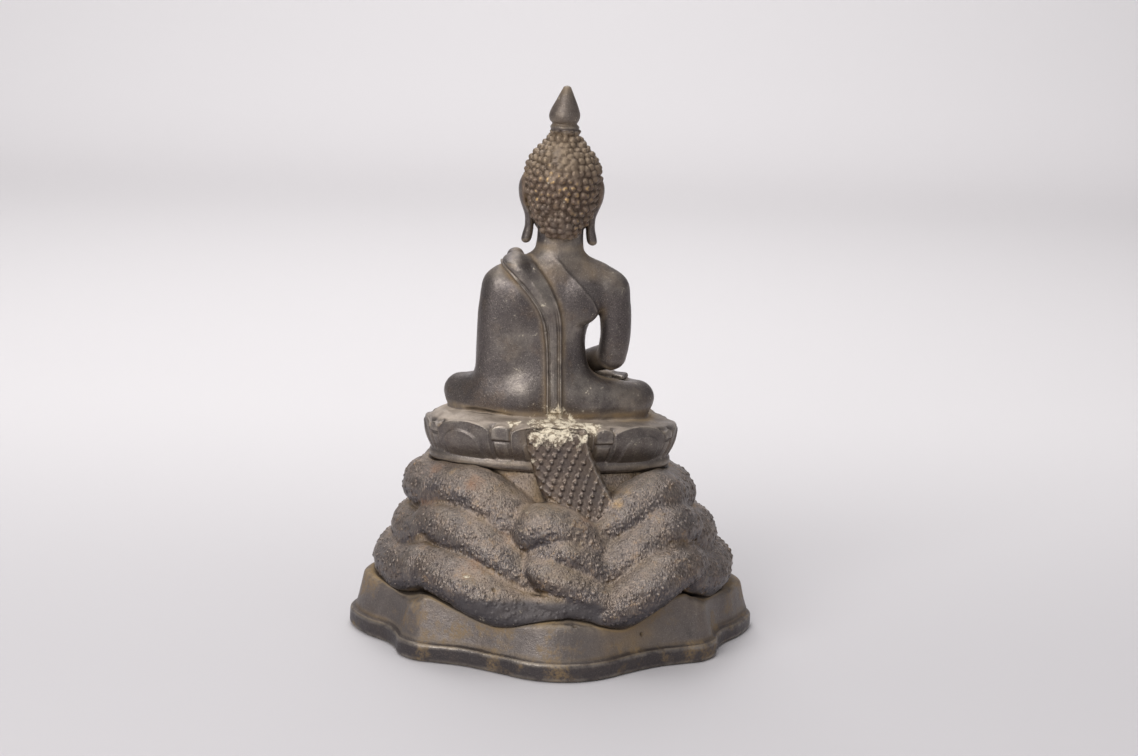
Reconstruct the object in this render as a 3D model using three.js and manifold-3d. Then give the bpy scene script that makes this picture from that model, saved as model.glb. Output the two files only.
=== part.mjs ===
// A bronze buddha seated on a lotus seat, on three tiers of naga coils, on a lobed plinth.
// Millimetres, +Z up. The figure faces -Y, so its back is +Y and its left side is +X.
// The origin is on the ground under the middle of the plinth.
import * as THREE from "three";
import { mergeVertices } from "three/addons/utils/BufferGeometryUtils.js";
import Module from "manifold-3d";

const clearance = 0.3; // gap between castings that rest on each other

const plinth = {
  halfWidth: 102,
  halfDepth: 87,
  height: 28.5,
  rimHeight: 9.3,
  rimStep: 2.4, // how far the rim stands out from the wall
  wallLean: 5,
  edgeRound: 1.4,
  topRound: 2.6,
  turn: 2.5, // degrees; it stands turned a little under the figure, its left side back
  columns: 56,
};

const coils = {
  height: 57.8, // from the plinth's top to the flat that carries the seat
  flatHalfWidth: 52,
  flatHalfDepth: 27,
  flatEdge: 3, // the flat's upright edge
  front: 0.86, // the unseen front is shallower than the back
  radius: 10.8,
  lap: 3, // how far the sagging strands stand over the side ones at the kinks
  // from the top tier down: plan of the centre line, its height at the side, the rise from there
  // to the kink at each corner, the fall from the kink to the middle, and the kink's angle
  tiers: [
    { offset: 3, halfWidth: 62.8, halfDepth: 39.5, level: 45, rise: 2.5, fall: 14, kink: 30 },
    { offset: 0, halfWidth: 71.2, halfDepth: 53, level: 22.8, rise: 8.5, fall: 15.5, kink: 33 },
    { offset: 0, halfWidth: 79.8, halfDepth: 66.5, level: 7, rise: 8, fall: 13, kink: 38 },
  ],
  // strands that cross over the tiers behind, under the neck: x, y, height over the plinth, radius
  crossings: [
    [[16, 44, 32, 8], [2, 48, 32, 9], [-20, 49, 27, 9]],
    [[12, 51, 25.5, 7.5], [-8, 56, 25, 9], [-27, 52, 21, 9]],
    [[11, 60, 19, 7.5], [-6, 63, 16, 9], [-31, 63, 6.5, 9]],
    [[13, 68, 3.4, 5.5], [-8, 70, 3.4, 5.8], [-28, 68, 4, 5.5]],
  ],
};

const neck = {
  width: 31,
  thickness: 13,
  backing: 10, // how far it reaches in towards the seat, which it follows
  foot: { x: -17.5, y: 43, z: 28 }, // z above the plinth's top
  top: { x: 0.8, y: 37.2 },
  aboveSeatRim: 1.2,
  plainColumns: 3, // on the hidden face
  studPitch: 6,
  studHeight: 1,
};

const seat = {
  halfWidth: 62.6,
  halfDepthBack: 31,
  halfDepthFront: 37,
  offset: 3.3, // the seat is set a little to the figure's left
  rimHeight: 21.6,
  platformRise: 4.8, // from the rim up to the flat under the legs
  ledge: 11, // from the rim in to that flat
  square: 2.15, // the plan is a little boxier than an ellipse
  petals: 8,
  columnsPerPetal: 8,
  scallop: 3.8,
  groove: 2,
  // the outside from the bottom up: height, inset
  side: [[0, 1.8], [2.9, 1], [4.2, 2], [12, -0.2]],
};

const figure = {
  height: 158.6, // from the seat's platform to the tip of the finial
  lean: 1.1, // degrees, towards the figure's right
  offset: 4.1, // its axis stands to the left of the plinth's
  hairOffset: -0.7, // the hair sits a little to the right on the head
};

const curls = { columns: 34, rows: 9, height: 1.3 };

const sash = { width: 9, thickness: 1.7, foot: 1.5 };

// The finial's outline: radius and height in the figure's drawing, which ends at its tip.
const finialOutline = [
  [0, 133], [7.4, 133], [7.6, 136.6], [6.4, 137.2], [7.1, 137.8], [7.1, 139.8], [5.6, 140.6], [7.3, 143.4],
  [7.4, 146.6], [5.6, 151.4], [3.1, 155.8], [1.4, 158], [0, 158.6],
];
// The whole drawing is scaled to figure.height; the named lengths go into it unscaled.
const figureScale = figure.height / finialOutline.at(-1)[1];
const inDrawing = (length) => length / figureScale;

const wasm = await Module();
wasm.setup();

const radians = THREE.MathUtils.degToRad;
const lerp = THREE.MathUtils.lerp;
const vec = (x, y, z) => new THREE.Vector3(x, y, z);

// Turns a closed three.js geometry into a solid.
function solid(geometry) {
  const plain = geometry.index ? geometry.clone() : geometry;
  plain.deleteAttribute("normal");
  plain.deleteAttribute("uv");
  const merged = mergeVertices(plain, 1e-4);
  return new wasm.Manifold(new wasm.Mesh({
    numProp: 3,
    vertProperties: merged.attributes.position.array,
    triVerts: new Uint32Array(merged.index.array),
  }));
}

// Turns a solid back into a geometry.
function geometryOf(body) {
  const mesh = body.getMesh();
  const geometry = new THREE.BufferGeometry();
  geometry.setAttribute("position", new THREE.BufferAttribute(Float32Array.from(mesh.vertProperties), 3));
  geometry.setIndex(new THREE.BufferAttribute(Uint32Array.from(mesh.triVerts), 1));
  return geometry;
}

const moved = (body, matrix) => solid(geometryOf(body).applyMatrix4(matrix));

// Joins bodies and fills the closed hollows left where round shapes meet.
function join(bodies) {
  const joined = bodies.reduce((sum, body) => sum.add(body));
  return joined.decompose().filter((shell) => shell.volume() > 0).reduce((sum, shell) => sum.add(shell));
}

// Skins a stack of equal rings and closes both ends.
function skin(rings) {
  const count = rings[0].length;
  const points = rings.flat();
  const faces = [];
  for (let row = 0; row < rings.length - 1; row += 1) {
    const above = row + 1;
    for (let col = 0; col < count; col += 1) {
      const next = (col + 1) % count;
      const corners = [row * count + col, row * count + next, above * count + next, above * count + col];
      // the diagonal alternates, so that lattices read as diamonds
      if ((row + col) % 2 === 0) faces.push(corners[0], corners[1], corners[2], corners[0], corners[2], corners[3]);
      else faces.push(corners[0], corners[1], corners[3], corners[1], corners[2], corners[3]);
    }
  }
  for (const [row, turn] of [[0, true], [rings.length - 1, false]]) {
    points.push(rings[row].reduce((sum, p) => sum.add(p), vec(0, 0, 0)).divideScalar(count));
    for (let col = 0; col < count; col += 1) {
      const a = row * count + col;
      const b = row * count + ((col + 1) % count);
      faces.push(...(turn ? [b, a, points.length - 1] : [a, b, points.length - 1]));
    }
  }
  const geometry = new THREE.BufferGeometry().setFromPoints(points);
  geometry.setIndex(faces);
  const body = solid(geometry);
  if (body.volume() > 0) return body;
  // the rings ran the other way round
  for (let i = 0; i < faces.length; i += 3) [faces[i], faces[i + 1]] = [faces[i + 1], faces[i]];
  geometry.setIndex(faces);
  return solid(geometry);
}

const power = (value, exponent) => Math.sign(value) * Math.abs(value) ** exponent;

// A level oval; square above 2 makes it boxier. Its back half may be deeper than its front.
function oval({ x = 0, y = 0, z, w, d, front = d, square = 2, sides = 16 }) {
  return Array.from({ length: sides }, (_, i) => {
    const angle = (i / sides) * 2 * Math.PI;
    const c = power(Math.cos(angle), 2 / square);
    const s = power(Math.sin(angle), 2 / square);
    return vec(x + w * c, y + (s > 0 ? d : front) * s, z);
  });
}

// A tube along a smooth path through [x, y, z, radius] stops, with rounded ends.
function limb(stops, { sides = 7, steps = 8, flat = 1 } = {}) {
  const path = new THREE.CatmullRomCurve3(stops.map(([x, y, z]) => vec(x, y, z)), false, "centripetal");
  const frames = path.computeFrenetFrames(steps, false);
  const rings = [];
  const ring = (centre, k, radius) => Array.from({ length: sides }, (_, i) => {
    const angle = (i / sides) * 2 * Math.PI;
    return centre.clone()
      .addScaledVector(frames.normals[k], Math.cos(angle) * radius)
      .addScaledVector(frames.binormals[k], Math.sin(angle) * radius * flat);
  });
  for (let k = 0; k <= steps; k += 1) {
    const t = k / steps;
    const place = t * (stops.length - 1);
    const at = Math.min(Math.floor(place), stops.length - 2);
    const radius = lerp(stops[at][3], stops[at + 1][3], place - at);
    const centre = path.getPoint(t);
    const dome = (way) => ring(centre.clone().addScaledVector(frames.tangents[k], way * radius * 0.72), k, radius * 0.6);
    if (k === 0) rings.push(dome(-1));
    rings.push(ring(centre, k, radius));
    if (k === steps) rings.push(dome(1));
  }
  return skin(rings);
}

// A rounded lump, for small features of the head, hands and feet.
function lump([x, y, z], [w, d, h]) {
  const geometry = new THREE.SphereGeometry(1, 6, 3);
  geometry.rotateX(Math.PI / 2);
  geometry.scale(w, d, h);
  geometry.translate(x, y, z);
  return solid(geometry);
}

// The plinth's plan: a broad lobe behind and before, joined by notches to a lobe at each side.
const planQuarter = [
  [0, 1], [0.1, 0.985], [0.2, 0.937], [0.313, 0.85], [0.46, 0.748], [0.6, 0.69], [0.69, 0.655], [0.76, 0.57],
  [0.782, 0.46], [0.828, 0.355], [0.91, 0.245], [0.975, 0.12], [1, 0],
];

function plinthPlan() {
  const mirrored = [];
  for (const [sx, sy] of [[1, 1], [1, -1], [-1, -1], [-1, 1]]) {
    const run = sx * sy > 0 ? planQuarter : [...planQuarter].reverse();
    mirrored.push(...run.slice(0, -1).map(([x, y]) => vec(x * sx * plinth.halfWidth, y * sy * plinth.halfDepth, 0)));
  }
  const curve = new THREE.CatmullRomCurve3(mirrored, true, "centripetal");
  return curve.getPoints(plinth.columns).slice(0, -1);
}

function buildPlinth() {
  const plan = plinthPlan();
  const wallFoot = plinth.rimStep;
  const wallTop = wallFoot + plinth.wallLean;
  const profile = [
    [0, plinth.edgeRound],
    [plinth.edgeRound, 0],
    [plinth.rimHeight, plinth.edgeRound / 3],
    [plinth.rimHeight, wallFoot],
    [plinth.height - plinth.topRound, wallTop],
    [plinth.height - plinth.topRound * 0.3, wallTop + plinth.topRound * 0.3],
    [plinth.height, wallTop + plinth.topRound],
  ];
  const body = skin(profile.map(([z, inset]) => plan.map((p) => {
    const reach = Math.hypot(p.x, p.y);
    return vec(p.x * (1 - inset / reach), p.y * (1 - inset / reach), z);
  })));
  return moved(body, new THREE.Matrix4().makeRotationZ(radians(plinth.turn)));
}

const coilFloor = plinth.height + clearance;
const coilTop = plinth.height + coils.height;
const seatFloor = coilTop + clearance;

// A place on a tier's centre line; the tier rises to a kink at each corner and sags between them.
function tierPoint(tier, angle) {
  const c = Math.cos(angle);
  const s = Math.sin(angle);
  const kinkX = Math.cos(radians(tier.kink));
  const towardsMiddle = Math.max(0, (kinkX - Math.abs(c)) / kinkX);
  const towardsSide = Math.max(0, (Math.abs(c) - kinkX) / (1 - kinkX));
  const dip = tier.rise * Math.sin(Math.min(1, towardsSide * 1.4) * Math.PI / 2);
  return [
    tier.offset + tier.halfWidth * c,
    tier.halfDepth * (s > 0 ? 1 : coils.front) * s,
    plinth.height + tier.level + tier.rise - tier.fall * towardsMiddle - dip,
    coils.radius,
  ];
}

// One tier: a strand round each side, two sagging strands behind and one before.
function buildTier(tier) {
  const strand = (from, to, steps, lap = 0) => {
    const stops = Array.from({ length: 5 }, (_, i) => tierPoint(tier, radians(lerp(from, to, i / 4))));
    stops[0][1] += lap;
    return limb(stops, { steps });
  };
  const corner = tier.kink;
  return [
    strand(-corner + 2, corner - 2, 4),
    strand(180 - corner + 2, 180 + corner - 2, 4),
    strand(corner, 92, 5, coils.lap),
    strand(180 - corner, 88, 5, coils.lap),
    strand(180 + corner, 360 - corner, 5, -coils.lap),
  ];
}

// Strands that cross over the sagging tiers behind, under the naga's neck.
function crossingStrands() {
  return coils.crossings.map((stops) => {
    return limb(stops.map(([x, y, up, r]) => [x, y, plinth.height + up, r]), { steps: 3 });
  });
}

function coilCore() {
  const [top, middle, bottom] = coils.tiers;
  const section = (z, tier, shrink = 0) => oval({
    x: tier.offset,
    z,
    w: tier.halfWidth - shrink,
    d: tier.halfDepth - shrink,
    front: tier.halfDepth * coils.front - shrink,
  });
  const z = plinth.height;
  return skin([
    section(z, bottom, -1),
    section(z + bottom.level, bottom),
    section(z + middle.level, middle),
    section(z + top.level, top, 3),
    oval({ z: coilTop - coils.flatEdge, w: coils.flatHalfWidth, d: coils.flatHalfDepth }),
    oval({ z: coilTop, w: coils.flatHalfWidth, d: coils.flatHalfDepth }),
  ]);
}

// The broken neck: a flattened band up the back of the seat, studded in diamonds.
function neckStub() {
  const rise = seatFloor + seat.rimHeight + neck.aboveSeatRim - plinth.height - neck.foot.z;
  const studded = 2 * Math.round((neck.width * 1.2) / neck.studPitch);
  const face = Array.from({ length: studded + 1 }, (_, i) => lerp(-10, 190, i / studded));
  const hidden = Array.from({ length: neck.plainColumns }, (_, i) => lerp(190, 350, (i + 1) / (neck.plainColumns + 1)));
  const angles = [...face, ...hidden].map(radians);
  const rows = Math.round(rise / (neck.studPitch / 2));
  const rings = [];
  for (let row = 0; row <= rows; row += 1) {
    const t = row / rows;
    const z = plinth.height + neck.foot.z + t * rise;
    const x = lerp(neck.foot.x, neck.top.x, t ** 0.9);
    const y = lerp(neck.foot.y, neck.top.y, Math.sin(t * Math.PI / 2));
    rings.push(angles.map((angle, i) => {
      const c = power(Math.cos(angle), 0.85);
      const s = power(Math.sin(angle), 0.85);
      const stud = s > 0.2 && (i + row) % 2 === 1 && row > 0 && row < rows - 1 ? neck.studHeight : 0;
      return vec(x + (neck.width / 2) * c, y + ((s > 0 ? neck.thickness / 2 : neck.backing) + stud) * s, z);
    }));
  }
  return skin(rings);
}

// The outside of the seat without its carving, grown by a margin.
function seatShell(margin) {
  const ring = (z, inset) => oval({
    x: seat.offset,
    z: seatFloor + z,
    w: seat.halfWidth - inset + margin,
    d: seat.halfDepthBack - inset + margin,
    front: seat.halfDepthFront - inset + margin,
    square: seat.square,
    sides: seat.petals * seat.columnsPerPetal,
  });
  return skin([
    ring(-margin, seat.side[0][1]), ring(seat.side[1][0], seat.side[1][1] - 0.1),
    ring(seat.side[3][0], seat.side[3][1] - 0.1), ring(seat.rimHeight, -0.1),
    ring(seat.rimHeight * 1.6, 0),
  ]);
}

function buildNaga() {
  const body = join([
    coilCore(),
    ...coils.tiers.flatMap((tier) => buildTier(tier)),
    ...crossingStrands(),
    neckStub(),
  ]);
  const wide = 2 * plinth.halfWidth;
  const below = skin([0, coilFloor].map((z) => oval({ z, w: wide, d: wide, sides: 8 })));
  return body.subtract(below).subtract(seatShell(clearance));
}

// The lotus seat: broad round-topped petals with a narrow one between each pair.
function buildSeat() {
  const columns = seat.petals * seat.columnsPerPetal;
  const petal = (column) => {
    const start = columns / 4; // a broad petal stands at the middle of the back
    const step = THREE.MathUtils.euclideanModulo(column - start, seat.columnsPerPetal);
    const away = Math.min(step, seat.columnsPerPetal - step);
    const broad = away / (seat.columnsPerPetal / 2 - 1);
    if (broad < 1) return { drop: seat.scallop * broad ** 3, inset: 0.4 * broad ** 2 };
    if (broad === 1) return { drop: seat.scallop, inset: seat.groove };
    return { drop: seat.scallop * 0.45, inset: seat.groove * 0.5 };
  };
  // height, inset, share of the petals' carving, share of their scalloped top
  const carving = [0, 0, 0.2, 1];
  const profile = [
    ...seat.side.map(([z, inset], row) => [z, inset, carving[row], 0]),
    [seat.rimHeight, 0, 1, 1], [seat.rimHeight, seat.groove * 1.2, 0.3, 0.9],
    [seat.rimHeight + seat.platformRise, seat.ledge, 0, 0],
  ];
  return skin(profile.map(([z, inset, carved, scalloped]) => {
    return Array.from({ length: columns }, (_, i) => {
      const { drop, inset: cut } = petal(i);
      const angle = (i / columns) * 2 * Math.PI;
      const c = power(Math.cos(angle), 2 / seat.square);
      const s = power(Math.sin(angle), 2 / seat.square);
      const cutIn = inset + cut * carved;
      const depth = s > 0 ? seat.halfDepthBack : seat.halfDepthFront;
      return vec(
        seat.offset + (seat.halfWidth - cutIn) * c,
        (depth - cutIn) * s,
        seatFloor + z - drop * scalloped,
      );
    });
  }));
}

// The figure is drawn upright on z = 0, and set on the platform afterwards.
function torso() {
  return [
    skin([
      oval({ y: 3, z: -1, w: 34, d: 17, square: 2.4 }),
      oval({ y: 4, z: 6, w: 35, d: 17, square: 2.4 }),
      oval({ y: 5, z: 13, w: 28, d: 15.5, square: 2.3 }),
      oval({ y: 5.5, z: 20, w: 20.5, d: 13.5, square: 2.3 }),
      oval({ y: 5, z: 28, w: 16.8, d: 12, square: 2.3 }),
      oval({ y: 5, z: 37, w: 16.8, d: 11.8, square: 2.3 }),
      oval({ y: 5, z: 47, w: 21, d: 12.6, square: 2.3 }),
      oval({ y: 5, z: 56, w: 27, d: 13, square: 2.2 }),
      oval({ y: 4.6, z: 63, w: 34.5, d: 11.6, square: 2.2 }),
      oval({ y: 4.4, z: 68, w: 34, d: 10.6, square: 2.1 }),
      oval({ y: 4, z: 72, w: 28.6, d: 10, square: 2.1 }),
      oval({ y: 3.4, z: 75, w: 19.5, d: 9.6, square: 2 }),
      oval({ y: 3, z: 78, w: 13.8, d: 9.6, square: 2 }),
      oval({ y: 2.4, z: 83, w: 11.4, d: 9.6, square: 2 }),
      oval({ y: 2, z: 96, w: 11, d: 9.6, square: 2 }),
    ]),
    // the robe spread from the left arm to the trunk
    skin([
      oval({ x: 14, y: 4.5, z: 10, w: 24, d: 13, square: 2.6, sides: 12 }),
      oval({ x: 16, y: 4.5, z: 20, w: 22.5, d: 12.4, square: 2.8, sides: 12 }),
      oval({ x: 16, y: 4.5, z: 36, w: 22.5, d: 11.6, square: 3, sides: 12 }),
      oval({ x: 16, y: 4.5, z: 52, w: 22, d: 11.6, square: 2.8, sides: 12 }),
      oval({ x: 17, y: 4.5, z: 63, w: 18.5, d: 10.4, square: 2.4, sides: 12 }),
      oval({ x: 16, y: 4, z: 70, w: 12, d: 8, square: 2.2, sides: 12 }),
    ]),
  ];
}

function arms() {
  const right = limb([
    [-28.6, 5, 61.5, 9.2], [-30.4, 5, 48, 8.3], [-29.6, 4, 34, 7.8],
    [-25.5, 1, 25, 7.8], [-17.5, -12, 19.5, 6.6], [-9, -21, 16.5, 5],
  ], { steps: 7 });
  const left = limb([
    [28.8, 5, 61.5, 9.2], [30.6, 5, 46, 8.2], [29.6, 4, 31, 8],
    [25.6, 0, 23, 7.6], [17, -12, 18.5, 6.4], [8, -21, 15.5, 5],
  ], { steps: 7 });
  const hands = [
    limb([[-10, -21.5, 16, 4.6], [0, -24.5, 14.6, 4.8], [9, -25, 14.4, 3]], { sides: 6, steps: 3, flat: 0.55 }),
    limb([[9, -21.5, 14, 4.6], [0, -24, 11.6, 4.8], [-9, -25, 11.6, 3]], { sides: 6, steps: 3, flat: 0.55 }),
  ];
  return [right, left, ...hands];
}

function legs() {
  const side = (s) => [
    limb([[s * 16, 8, 8, 11], [s * 32, 2, 7.6, 9.2], [s * 45.4, -8, 6.8, 7.4]], { steps: 4 }),
    limb([[s * 45.6, -9, 6.4, 7.3], [s * 26, -21, 6.2, 6.6], [s * 2, -27, 6.6, 5.6]], { steps: 4 }),
    lump([s * -24, -18, 14.5], [9.5, 4.4, 2.8]),
    lump([s * -33, -15.5, 15], [3.2, 3.8, 2.6]),
  ];
  const lap = skin([
    oval({ y: -7, z: -1, w: 44, d: 19, square: 2.2 }),
    oval({ y: -7, z: 5.5, w: 46, d: 19, square: 2.2 }),
    oval({ y: -6, z: 10, w: 38, d: 16, square: 2.2 }),
  ]);
  return [...side(1), ...side(-1), lap];
}

// The head without its hair: a calm, plain face on usual proportions.
function head() {
  const skull = skin([
    oval({ y: -8, z: 84.6, w: 4.6, d: 4, front: 5.6 }),
    oval({ y: -5, z: 87.6, w: 9, d: 8, front: 11.4 }),
    oval({ y: -3, z: 92.5, w: 13, d: 12, front: 15.4 }),
    oval({ y: -2, z: 99, w: 15.8, d: 15, front: 17.6 }),
    oval({ y: -1, z: 106, w: 17.2, d: 17, front: 19 }),
    oval({ y: 0, z: 113, w: 17.4, d: 17.5, front: 19 }),
    oval({ y: 0.5, z: 121, w: 14, d: 15, front: 15 }),
  ]);
  const nose = skin([
    oval({ y: -18.6, z: 97.2, w: 2.9, d: 2, front: 3.6, sides: 6 }),
    oval({ y: -18.4, z: 99.2, w: 2.3, d: 2, front: 3.8, sides: 6 }),
    oval({ y: -18, z: 104, w: 1.5, d: 2, front: 2.4, sides: 6 }),
    oval({ y: -18, z: 108.6, w: 1.6, d: 2, front: 1.4, sides: 6 }),
  ]);
  const pair = (make) => [make(1), make(-1)];
  return [
    skull,
    nose,
    lump([0, -17.9, 93.9], [4.4, 1.9, 0.8]),
    lump([0, -17.2, 92], [3.4, 1.9, 0.9]),
    lump([0, -14.6, 87.8], [3.4, 2.6, 2.2]),
    ...pair((s) => lump([s * 6.6, -16.6, 104.6], [4.2, 1.9, 1.5])),
    ...pair((s) => limb([[s * 2, -18.5, 108.6, 0.7], [s * 7, -17.6, 110.4, 0.8], [s * 12.6, -14, 108.2, 0.5]],
      { sides: 5, steps: 4 })),
  ];
}

function ears() {
  const sections = [
    [82.6, 16.6, 0.9, 1.4], [84, 16.4, 2.2, 2.7], [89, 15.8, 2.1, 2.9], [94, 16, 2, 3.1], [99, 17.4, 2.2, 3.8],
    [105, 19.1, 2.3, 4.8], [111, 18.9, 2.3, 5], [115.4, 17.6, 1.7, 3.8], [117.4, 16.4, 0.8, 2],
  ];
  return [1, -1].map((s) => skin(sections.map(([z, x, w, d]) => oval({ x: s * x, y: 0.5, z, w, d, sides: 7 }))));
}

// Hair: curls as a lattice of points on a cap, then a stepped cone up to the finial.
function hairCap({ bottom, top, columns, rows, outline, hidden }) {
  const rings = [];
  for (let row = 0; row <= rows; row += 1) {
    const t = row / rows;
    rings.push(Array.from({ length: columns }, (_, i) => {
      const angle = (i / columns) * 2 * Math.PI;
      const height = lerp(bottom, top, t);
      const { w, d, front, y } = outline(height);
      const tuck = hidden(angle, height);
      const curl = (i + row) % 2 === 1 && row > 0 && row < rows ? inDrawing(curls.height) : 0;
      const grow = tuck > 0 ? -tuck : curl;
      const s = Math.sin(angle);
      const x = inDrawing(figure.hairOffset) + (w + grow) * Math.cos(angle);
      return vec(x, y + ((s > 0 ? d : front) + grow) * s, height);
    }));
  }
  return skin(rings);
}

function hair() {
  const stops = [
    [83.5, 7.5, 12.6, 8, 2], [88, 12, 16, 12, 1], [94, 15, 18.4, 14, 0.5], [100, 17.4, 19.8, 16, 0],
    [108, 19, 20.6, 19, 0], [114, 19.4, 20.4, 19, 0], [120, 18.6, 18.8, 17.8, 0], [125, 16.6, 16.4, 15.8, 0],
    [129, 14, 13.4, 13.4, 0], [132.5, 10.4, 10, 10, 0],
  ];
  const outline = (height) => {
    const k = Math.max(0, Math.min(stops.length - 2, stops.findIndex((stop) => stop[0] > height) - 1));
    const [a, b] = [stops[k], stops[k + 1]];
    const t = THREE.MathUtils.clamp((height - a[0]) / (b[0] - a[0]), 0, 1);
    const [w, d, front, y] = [1, 2, 3, 4].map((n) => lerp(a[n], b[n], t));
    return { w, d, front, y };
  };
  // the face and the ears' roots are clear of curls below the hairline
  const hidden = (angle, height) => {
    const forward = -Math.sin(angle);
    const line = 113.5 - 3 * (1 - Math.max(0, forward));
    if (forward > -0.1 && height < line) return forward > 0.25 ? 3 : 1.5;
    return 0;
  };
  const cap = hairCap({ bottom: 83.5, top: 128.5, columns: curls.columns, rows: curls.rows, outline, hidden });
  const cone = hairCap({
    bottom: 126, top: 135.5, columns: curls.columns / 2, rows: 3,
    outline: (height) => {
      const w = lerp(14.6, 8, Math.min(1, (height - 126) / 8.5) ** 0.8);
      return { w, d: w, front: w, y: 0 };
    },
    hidden: () => 0,
  });
  return [cap, cone];
}

// The bud finial on its ring, turned about the head's axis.
function finial() {
  const bud = new THREE.LatheGeometry(finialOutline.map(([r, z]) => new THREE.Vector2(r, z)), 10);
  return solid(bud.rotateX(Math.PI / 2));
}

// A raised band laid on the back of a body along [x, z] stops.
function bandOn(body, stops, width, profile, steps) {
  const target = new THREE.Mesh(geometryOf(body), new THREE.MeshBasicMaterial({ side: THREE.DoubleSide }));
  target.updateMatrixWorld();
  const ray = new THREE.Raycaster();
  const path = new THREE.CatmullRomCurve3(stops.map(([x, z]) => vec(x, 0, z)), false, "centripetal");
  const surface = (x, z) => {
    ray.set(vec(x, 100, z), vec(0, -1, 0));
    const hits = ray.intersectObject(target);
    return hits.length ? hits[0].point.y : null;
  };
  const rings = [];
  let lastY = 0;
  for (let k = 0; k <= steps; k += 1) {
    const at = path.getPoint(k / steps);
    const along = path.getTangent(k / steps);
    const side = vec(-along.z, 0, along.x).normalize();
    rings.push(profile.map(([across, lift]) => {
      const p = at.clone().addScaledVector(side, across * width / 2);
      lastY = surface(p.x, p.z) ?? lastY;
      return vec(p.x, lastY + lift, p.z);
    }));
  }
  return skin(rings);
}

function buildFigure() {
  const base = join([...torso(), ...arms(), ...legs()]);
  const t = inDrawing(sash.thickness);
  const sashBand = bandOn(base,
    [[20.5, 74], [15.4, 66.5], [10, 59.5], [5.4, 52.5], [3.2, 43], [2, 31], [1.4, 18], [1.2, inDrawing(sash.foot)]],
    inDrawing(sash.width), [[-0.98, -2], [-0.96, t], [-0.6, t * 0.6], [0.6, t * 0.6], [0.96, t], [0.98, -2]], 13);
  const robeEdge = bandOn(base, [[-1.8, 72.5], [-8, 65], [-14.5, 58], [-20.5, 51.5]], 1.8,
    [[-1, -1.2], [-0.6, 0.6], [0.6, 0.6], [1, -1.2]], 6);
  const roll = limb([[19.4, 12.4, 70, 4.2], [21.4, 8.4, 74.2, 4.6], [21.6, 1.5, 75, 4.6], [20, -6, 69, 4]],
    { steps: 6, flat: 0.75 });
  const body = join([base, ...head(), ...ears(), ...hair(), finial(), sashBand, robeEdge, roll]);
  return moved(body, new THREE.Matrix4()
    .makeTranslation(figure.offset, 0, seatFloor + seat.rimHeight + seat.platformRise)
    .multiply(new THREE.Matrix4().makeRotationY(-radians(figure.lean)))
    .scale(vec(figureScale, figureScale, figureScale)));
}

const bronze = (color, roughness) => new THREE.MeshStandardMaterial({ color, roughness, metalness: 0.75 });

function part(name, body, material) {
  const geometry = geometryOf(body);
  geometry.computeVertexNormals();
  const mesh = new THREE.Mesh(geometry, material);
  mesh.name = name;
  return mesh;
}

const model = new THREE.Group();
model.add(part("buddha_on_lotus_seat", buildSeat().add(buildFigure()), bronze(0x5f5852, 0.5)));
model.add(part("naga_coils_and_neck", buildNaga(), bronze(0x6a6058, 0.6)));
model.add(part("plinth", buildPlinth(), bronze(0x62605a, 0.5)));

export default model;
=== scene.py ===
import math
import time

import bpy
import numpy as np
from mathutils import Matrix, Vector
from mathutils.kdtree import KDTree


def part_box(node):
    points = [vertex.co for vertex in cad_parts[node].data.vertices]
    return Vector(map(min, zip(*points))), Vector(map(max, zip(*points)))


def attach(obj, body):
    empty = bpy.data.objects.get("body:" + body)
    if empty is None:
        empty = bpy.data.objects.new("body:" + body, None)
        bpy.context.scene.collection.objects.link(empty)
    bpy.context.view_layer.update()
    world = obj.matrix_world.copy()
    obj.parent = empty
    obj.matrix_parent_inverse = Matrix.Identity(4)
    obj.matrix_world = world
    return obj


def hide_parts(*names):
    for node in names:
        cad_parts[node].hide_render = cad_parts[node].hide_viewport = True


# An old bronze: a seated buddha on a lotus seat, on naga coils, on a lobed plinth.
# Shapes are modelled as clay in millimetres: each casting is one field of distances, netted into a mesh.
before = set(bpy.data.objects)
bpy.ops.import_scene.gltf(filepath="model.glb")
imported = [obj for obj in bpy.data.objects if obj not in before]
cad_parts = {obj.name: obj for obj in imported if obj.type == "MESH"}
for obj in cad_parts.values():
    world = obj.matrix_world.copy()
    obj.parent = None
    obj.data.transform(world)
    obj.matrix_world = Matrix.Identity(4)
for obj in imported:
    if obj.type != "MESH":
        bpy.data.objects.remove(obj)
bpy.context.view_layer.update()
mm = 0.001
fineStep = 0.5
trianglesPerPiece = 190000
clock = time.time()


def report(text):
    print(f"{text} ({time.time() - clock:.0f} s)")


def nodeBox(name):
    low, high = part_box(name)
    return np.array(low) / mm, np.array(high) / mm


seatLow, figureHigh = nodeBox("buddha_on_lotus_seat")
nagaLow, nagaHigh = nodeBox("naga_coils_and_neck")
plinthLow, plinthHigh = nodeBox("plinth")


# clay tools

def ease(t):
    t = np.clip(t, 0, 1)
    return t * t * (3 - 2 * t)


def bell(t):
    return np.exp(-(t**2))


def melt(a, b, soft):
    # the union of two distances, with a soft fillet
    h = np.clip(0.5 + 0.5 * (b - a) / soft, 0, 1)
    return b + (a - b) * h - soft * h * (1 - h)


def carve(a, b, soft):
    # where both are inside
    return -melt(-a, -b, soft)


def squareOval(x, y, square):
    # how far out a place is, 1 on the oval itself
    return np.maximum((x**square + y**square) ** (1 / square), 1e-3)


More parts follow.
